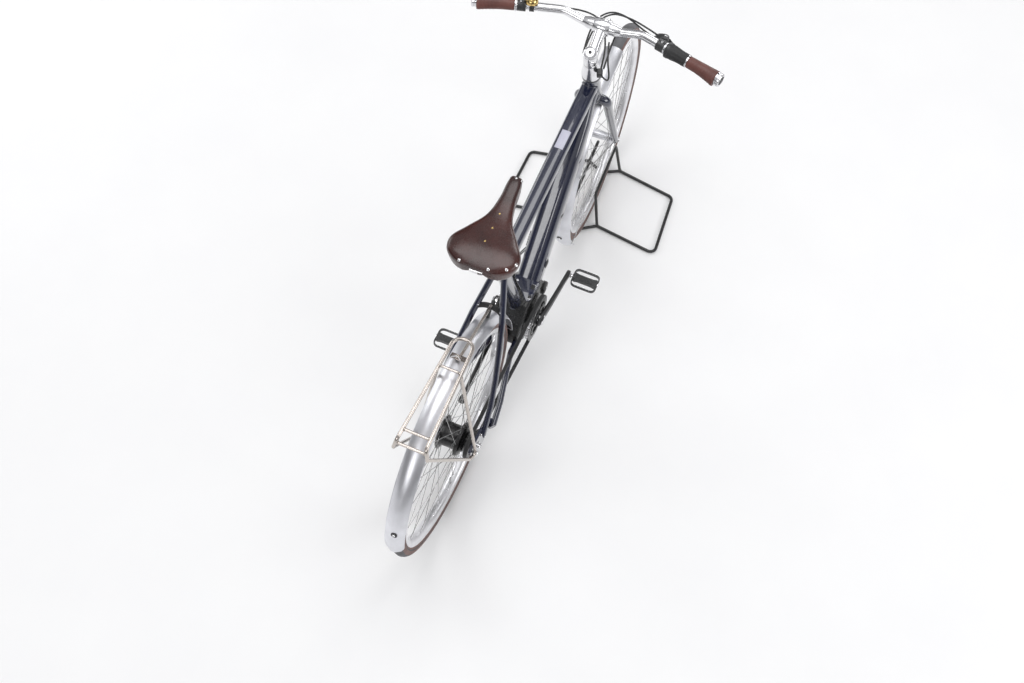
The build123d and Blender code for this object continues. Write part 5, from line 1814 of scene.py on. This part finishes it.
def belt():
    """Teeth inside, and fine grooves outside."""
    line = belt_line()
    sections, walked, steps_done = [], 0.0, -1
    for n, (x, z, out_x, out_z) in enumerate(line):
        walked += math.hypot(x - line[n - 1][0], z - line[n - 1][1]) if n else 0
        step = int(walked / (BELT_PITCH / 6))
        if step == steps_done:
            continue
        steps_done = step
        tooth = 2.8 if step % 6 < 3 else 0.6
        outline = ((-5.2, -tooth), (-5.2, 2.0), (-3.4, 2.4), (-1.0, 1.9), (1.0, 1.9), (3.4, 2.4), (5.2, 2.0),
                   (5.2, -tooth))
        sections.append([Vector((x + out_x * out, BELT_Y + y, z + out_z * out)) * MM for y, out in outline])
    joined("drive_belt_toothed", [drawn(sections, BELT_RUBBER, closed=True)], "frame", "drive_belt",
           sharp=35)


belt()

# %% [markdown]
# ## Cranks and pedals
# A forged arm is broad at the spindle, waisted, and ends in a rounded eye. The pedals are thin rounded
# frames round a ribbed middle, open fore and aft of it, with small pins along their edges.

# %% Cranks
CRANK_LENGTH, CRANK_REST = 170.0, 2.8
CRANK_STATIONS = ((-20, 70.5, 10, 7), (-17, 71, 24, 12), (-8, 71.5, 33, 14.5), (4, 72.2, 36, 15),
                  (24, 74.5, 33, 15), (52, 78, 29, 13.6), (100, 82.5, 25.5, 12.8), (140, 86, 24, 12.6),
                  (158, 88, 25, 13), (170, 89, 25.5, 13), (178, 89, 21, 12.6), (182, 89, 12, 10))


def crank_end(side):
    return circle(BB, -side * CRANK_LENGTH, CRANK_REST)


def crank(name, side, replaced):
    end = crank_end(side)
    along = (end - BB).normalized()
    tall_way = along.cross(LEFT).normalized()
    sections = [oval(BB + along * out * MM + LEFT * side * y * MM, LEFT, tall_way, thick / 2, tall / 2, 3.2)
                for out, y, tall, thick in CRANK_STATIONS]
    cap = [(0, 80), (10.5, 80), (12, 79), (15, 79), (16, 80.4), (14, 82.4), (0, 82.6)]
    axle = [(0, 95), (5.0, 95), (5.0, 180), (0, 180)]
    nut = [(0, 95), (7.5, 95), (7.5, 99), (7.0, 101), (0, 101)]
    collar = [(5, 64.5), (17, 64.5), (18, 65.5), (18, 72), (5, 72)]
    parts = [drawn(sections, BLACK)]
    for outline, place, sides in ((cap, BB, 40), (axle, end, 24), (nut, end, 6), (collar, BB, 48)):
        parts.append(turned(outline, place, LEFT * side, CHROME, sides))
    joined(name, parts, "crankset", replaced, sharp=36)


crank("crank_right_arm", -1, "crank_right")
crank("crank_left_arm", 1, "crank_left")


# %% Pedals
def pedal(name, side, body, replaced):
    end = crank_end(side)
    y_in, y_out, half_x, half_z, rim_z = 105, 184, 31, 8, 5
    middle, half_y = (y_in + y_out) / 2, (y_out - y_in) / 2
    corners = ((-1, -1), (1, -1), (1, 1), (-1, 1))

    def spot(x, y, z):
        return end + Vector((x, side * y, z)) * MM

    outer = softened([(a * half_x, b * half_y) for a, b in corners], 17, 8)
    inner = softened([(a * (half_x - 3.2), b * (half_y - 3.6)) for a, b in corners], 14, 8)
    rim_sections = []
    for (x, y), (u, v) in zip(outer, inner):
        near = [(x, y, 1 - rim_z), (x * 0.985, y * 0.99, -rim_z), (u, v, -rim_z)]
        far = [(a, b, -c) for a, b, c in near[::-1]]
        rim_sections.append([spot(a, middle + b, c) for a, b, c in near + far])
    parts = [drawn(rim_sections, BLACK, closed=True)]
    waist = softened([(-14, -36.5), (14, -36.5), (10.5, -22), (10.5, 22), (14, 36.5), (-14, 36.5),
                      (-10.5, 22), (-10.5, -22)], 5)
    parts.append(plate(waist, lambda x, y, z: spot(x, middle + y, z), 1.2 - half_z, half_z - 1.2, BLACK))
    for z in (half_z - 1.2, 1.2 - half_z):
        for n in range(17):
            y = y_in + 7 + n * 4.05
            parts.append(rod([spot(-9.6, y, z), spot(9.6, y, z)], 0.9, RUBBER, 6))
    for x in (-29.4, 29.4):
        for n in range(6):
            y = y_in + 17 + n * 9
            parts.append(ball(spot(x, y, rim_z), 1.2, CHROME, 8))
            parts.append(ball(spot(x, y, -rim_z), 1.2, CHROME, 8))
    eye = [(5.05, y_in), (9, y_in), (9.4, y_in + 2), (9.4, y_in + 8), (5.05, y_in + 8)]
    parts.append(turned(eye, end, LEFT * side, BLACK, 32))
    parts.append(bolt(spot(0, y_out - 1, 0), LEFT * side, 6.5, 2.0, CHROME))
    joined(name, parts, body, replaced, sharp=40)


pedal("pedal_right_frame", -1, "pedal_right", "pedal_right")
pedal("pedal_left_frame", 1, "pedal_left", "pedal_left")

# %% [markdown]
# ## Kickstand and display stand
# The kickstand is a single tapering leg with a rubber foot, folding about a slanted pin. The front
# wheel is held by a black rod stand: two hoops beside the tyre and a wide loop on the floor each side.

# %% Kickstand
def kickstand():
    axis = Vector(JOINTS["kickstand_fold"]["axis"]).normalized()
    pivot = Vector(JOINTS["kickstand_fold"]["pos_m"])
    tip = rear(150, 36, 264)
    along = (tip - pivot).normalized()
    path = [pivot + along * d * MM for d in (9, 30, 80, 140, 200)] + [tip]
    eye = band(4.06, 11, -8, 8)
    foot = [(0, -4), (8.4, -4), (9.2, -2), (9.5, 6), (9.5, 13), (8.6, 15), (0, 15.4)]
    leg = rod(path, 7.9, BLACK, 20, radii=[1, 0.98, 0.95, 0.93, 0.9, 0.88])
    parts = [leg, turned(eye, pivot, axis, BLACK, 36), turned(foot, tip, along, RUBBER, 28)]
    for d in (0, 4, 8):
        rib = [(9.0, d), (9.9, d + 0.6), (9.9, d + 1.6), (9.0, d + 2.2)]
        parts.append(turned(rib, tip, along, RUBBER, 28))
    joined("kickstand_leg", parts, "kickstand", "kickstand", sharp=40)


kickstand()


# %% Display stand
def display_stand():
    ahead, behind, out, high, rod_r = 144.0, -99.0, 56.0, 150.0, 5
    turn = turned_about(front(0, 0, 0), UP, 2.3)
    gap = TYRE_HALF + rod_r + 5.5
    feet, hoops = [], []
    for side in (1, -1):
        loop = ((behind, out, rod_r), (-133, 268, rod_r), (106, 258, rod_r), (ahead, out, rod_r))
        arch = ((behind, out, rod_r), (-80, gap, high), (130, gap, high), (ahead, out, rod_r))
        for found, corners, bend in ((feet, loop, 20), (hoops, arch, 14)):
            found.append(bent_rod([front(x, side * y, z) for x, y, z in corners], bend, rod_r, BLACK, 30, 20))
        for x, tip in ((ahead, ahead - 28), (behind, behind - 37)):
            feet.append(rod([front(x, side * out, rod_r), front(tip, 0, rod_r)], rod_r, BLACK, 20))
            feet.append(ball(front(x, side * out, rod_r), 5.6, BLACK))
            hoops.append(ball(front(x, side * out, 8.5), 6.2, BLACK, 20, 0.7))
    feet += [ball(front(x, 0, rod_r), 5.2, BLACK) for x in (ahead - 28, behind - 37)]
    joined("stand_floor_loops", feet, "front_assembly", "stand_feet", turn, sharp=50)
    joined("stand_wheel_hoops", hoops, "front_assembly", "stand_hoops", turn, sharp=50)


display_stand()

# %% Finish
print("pieces finished")
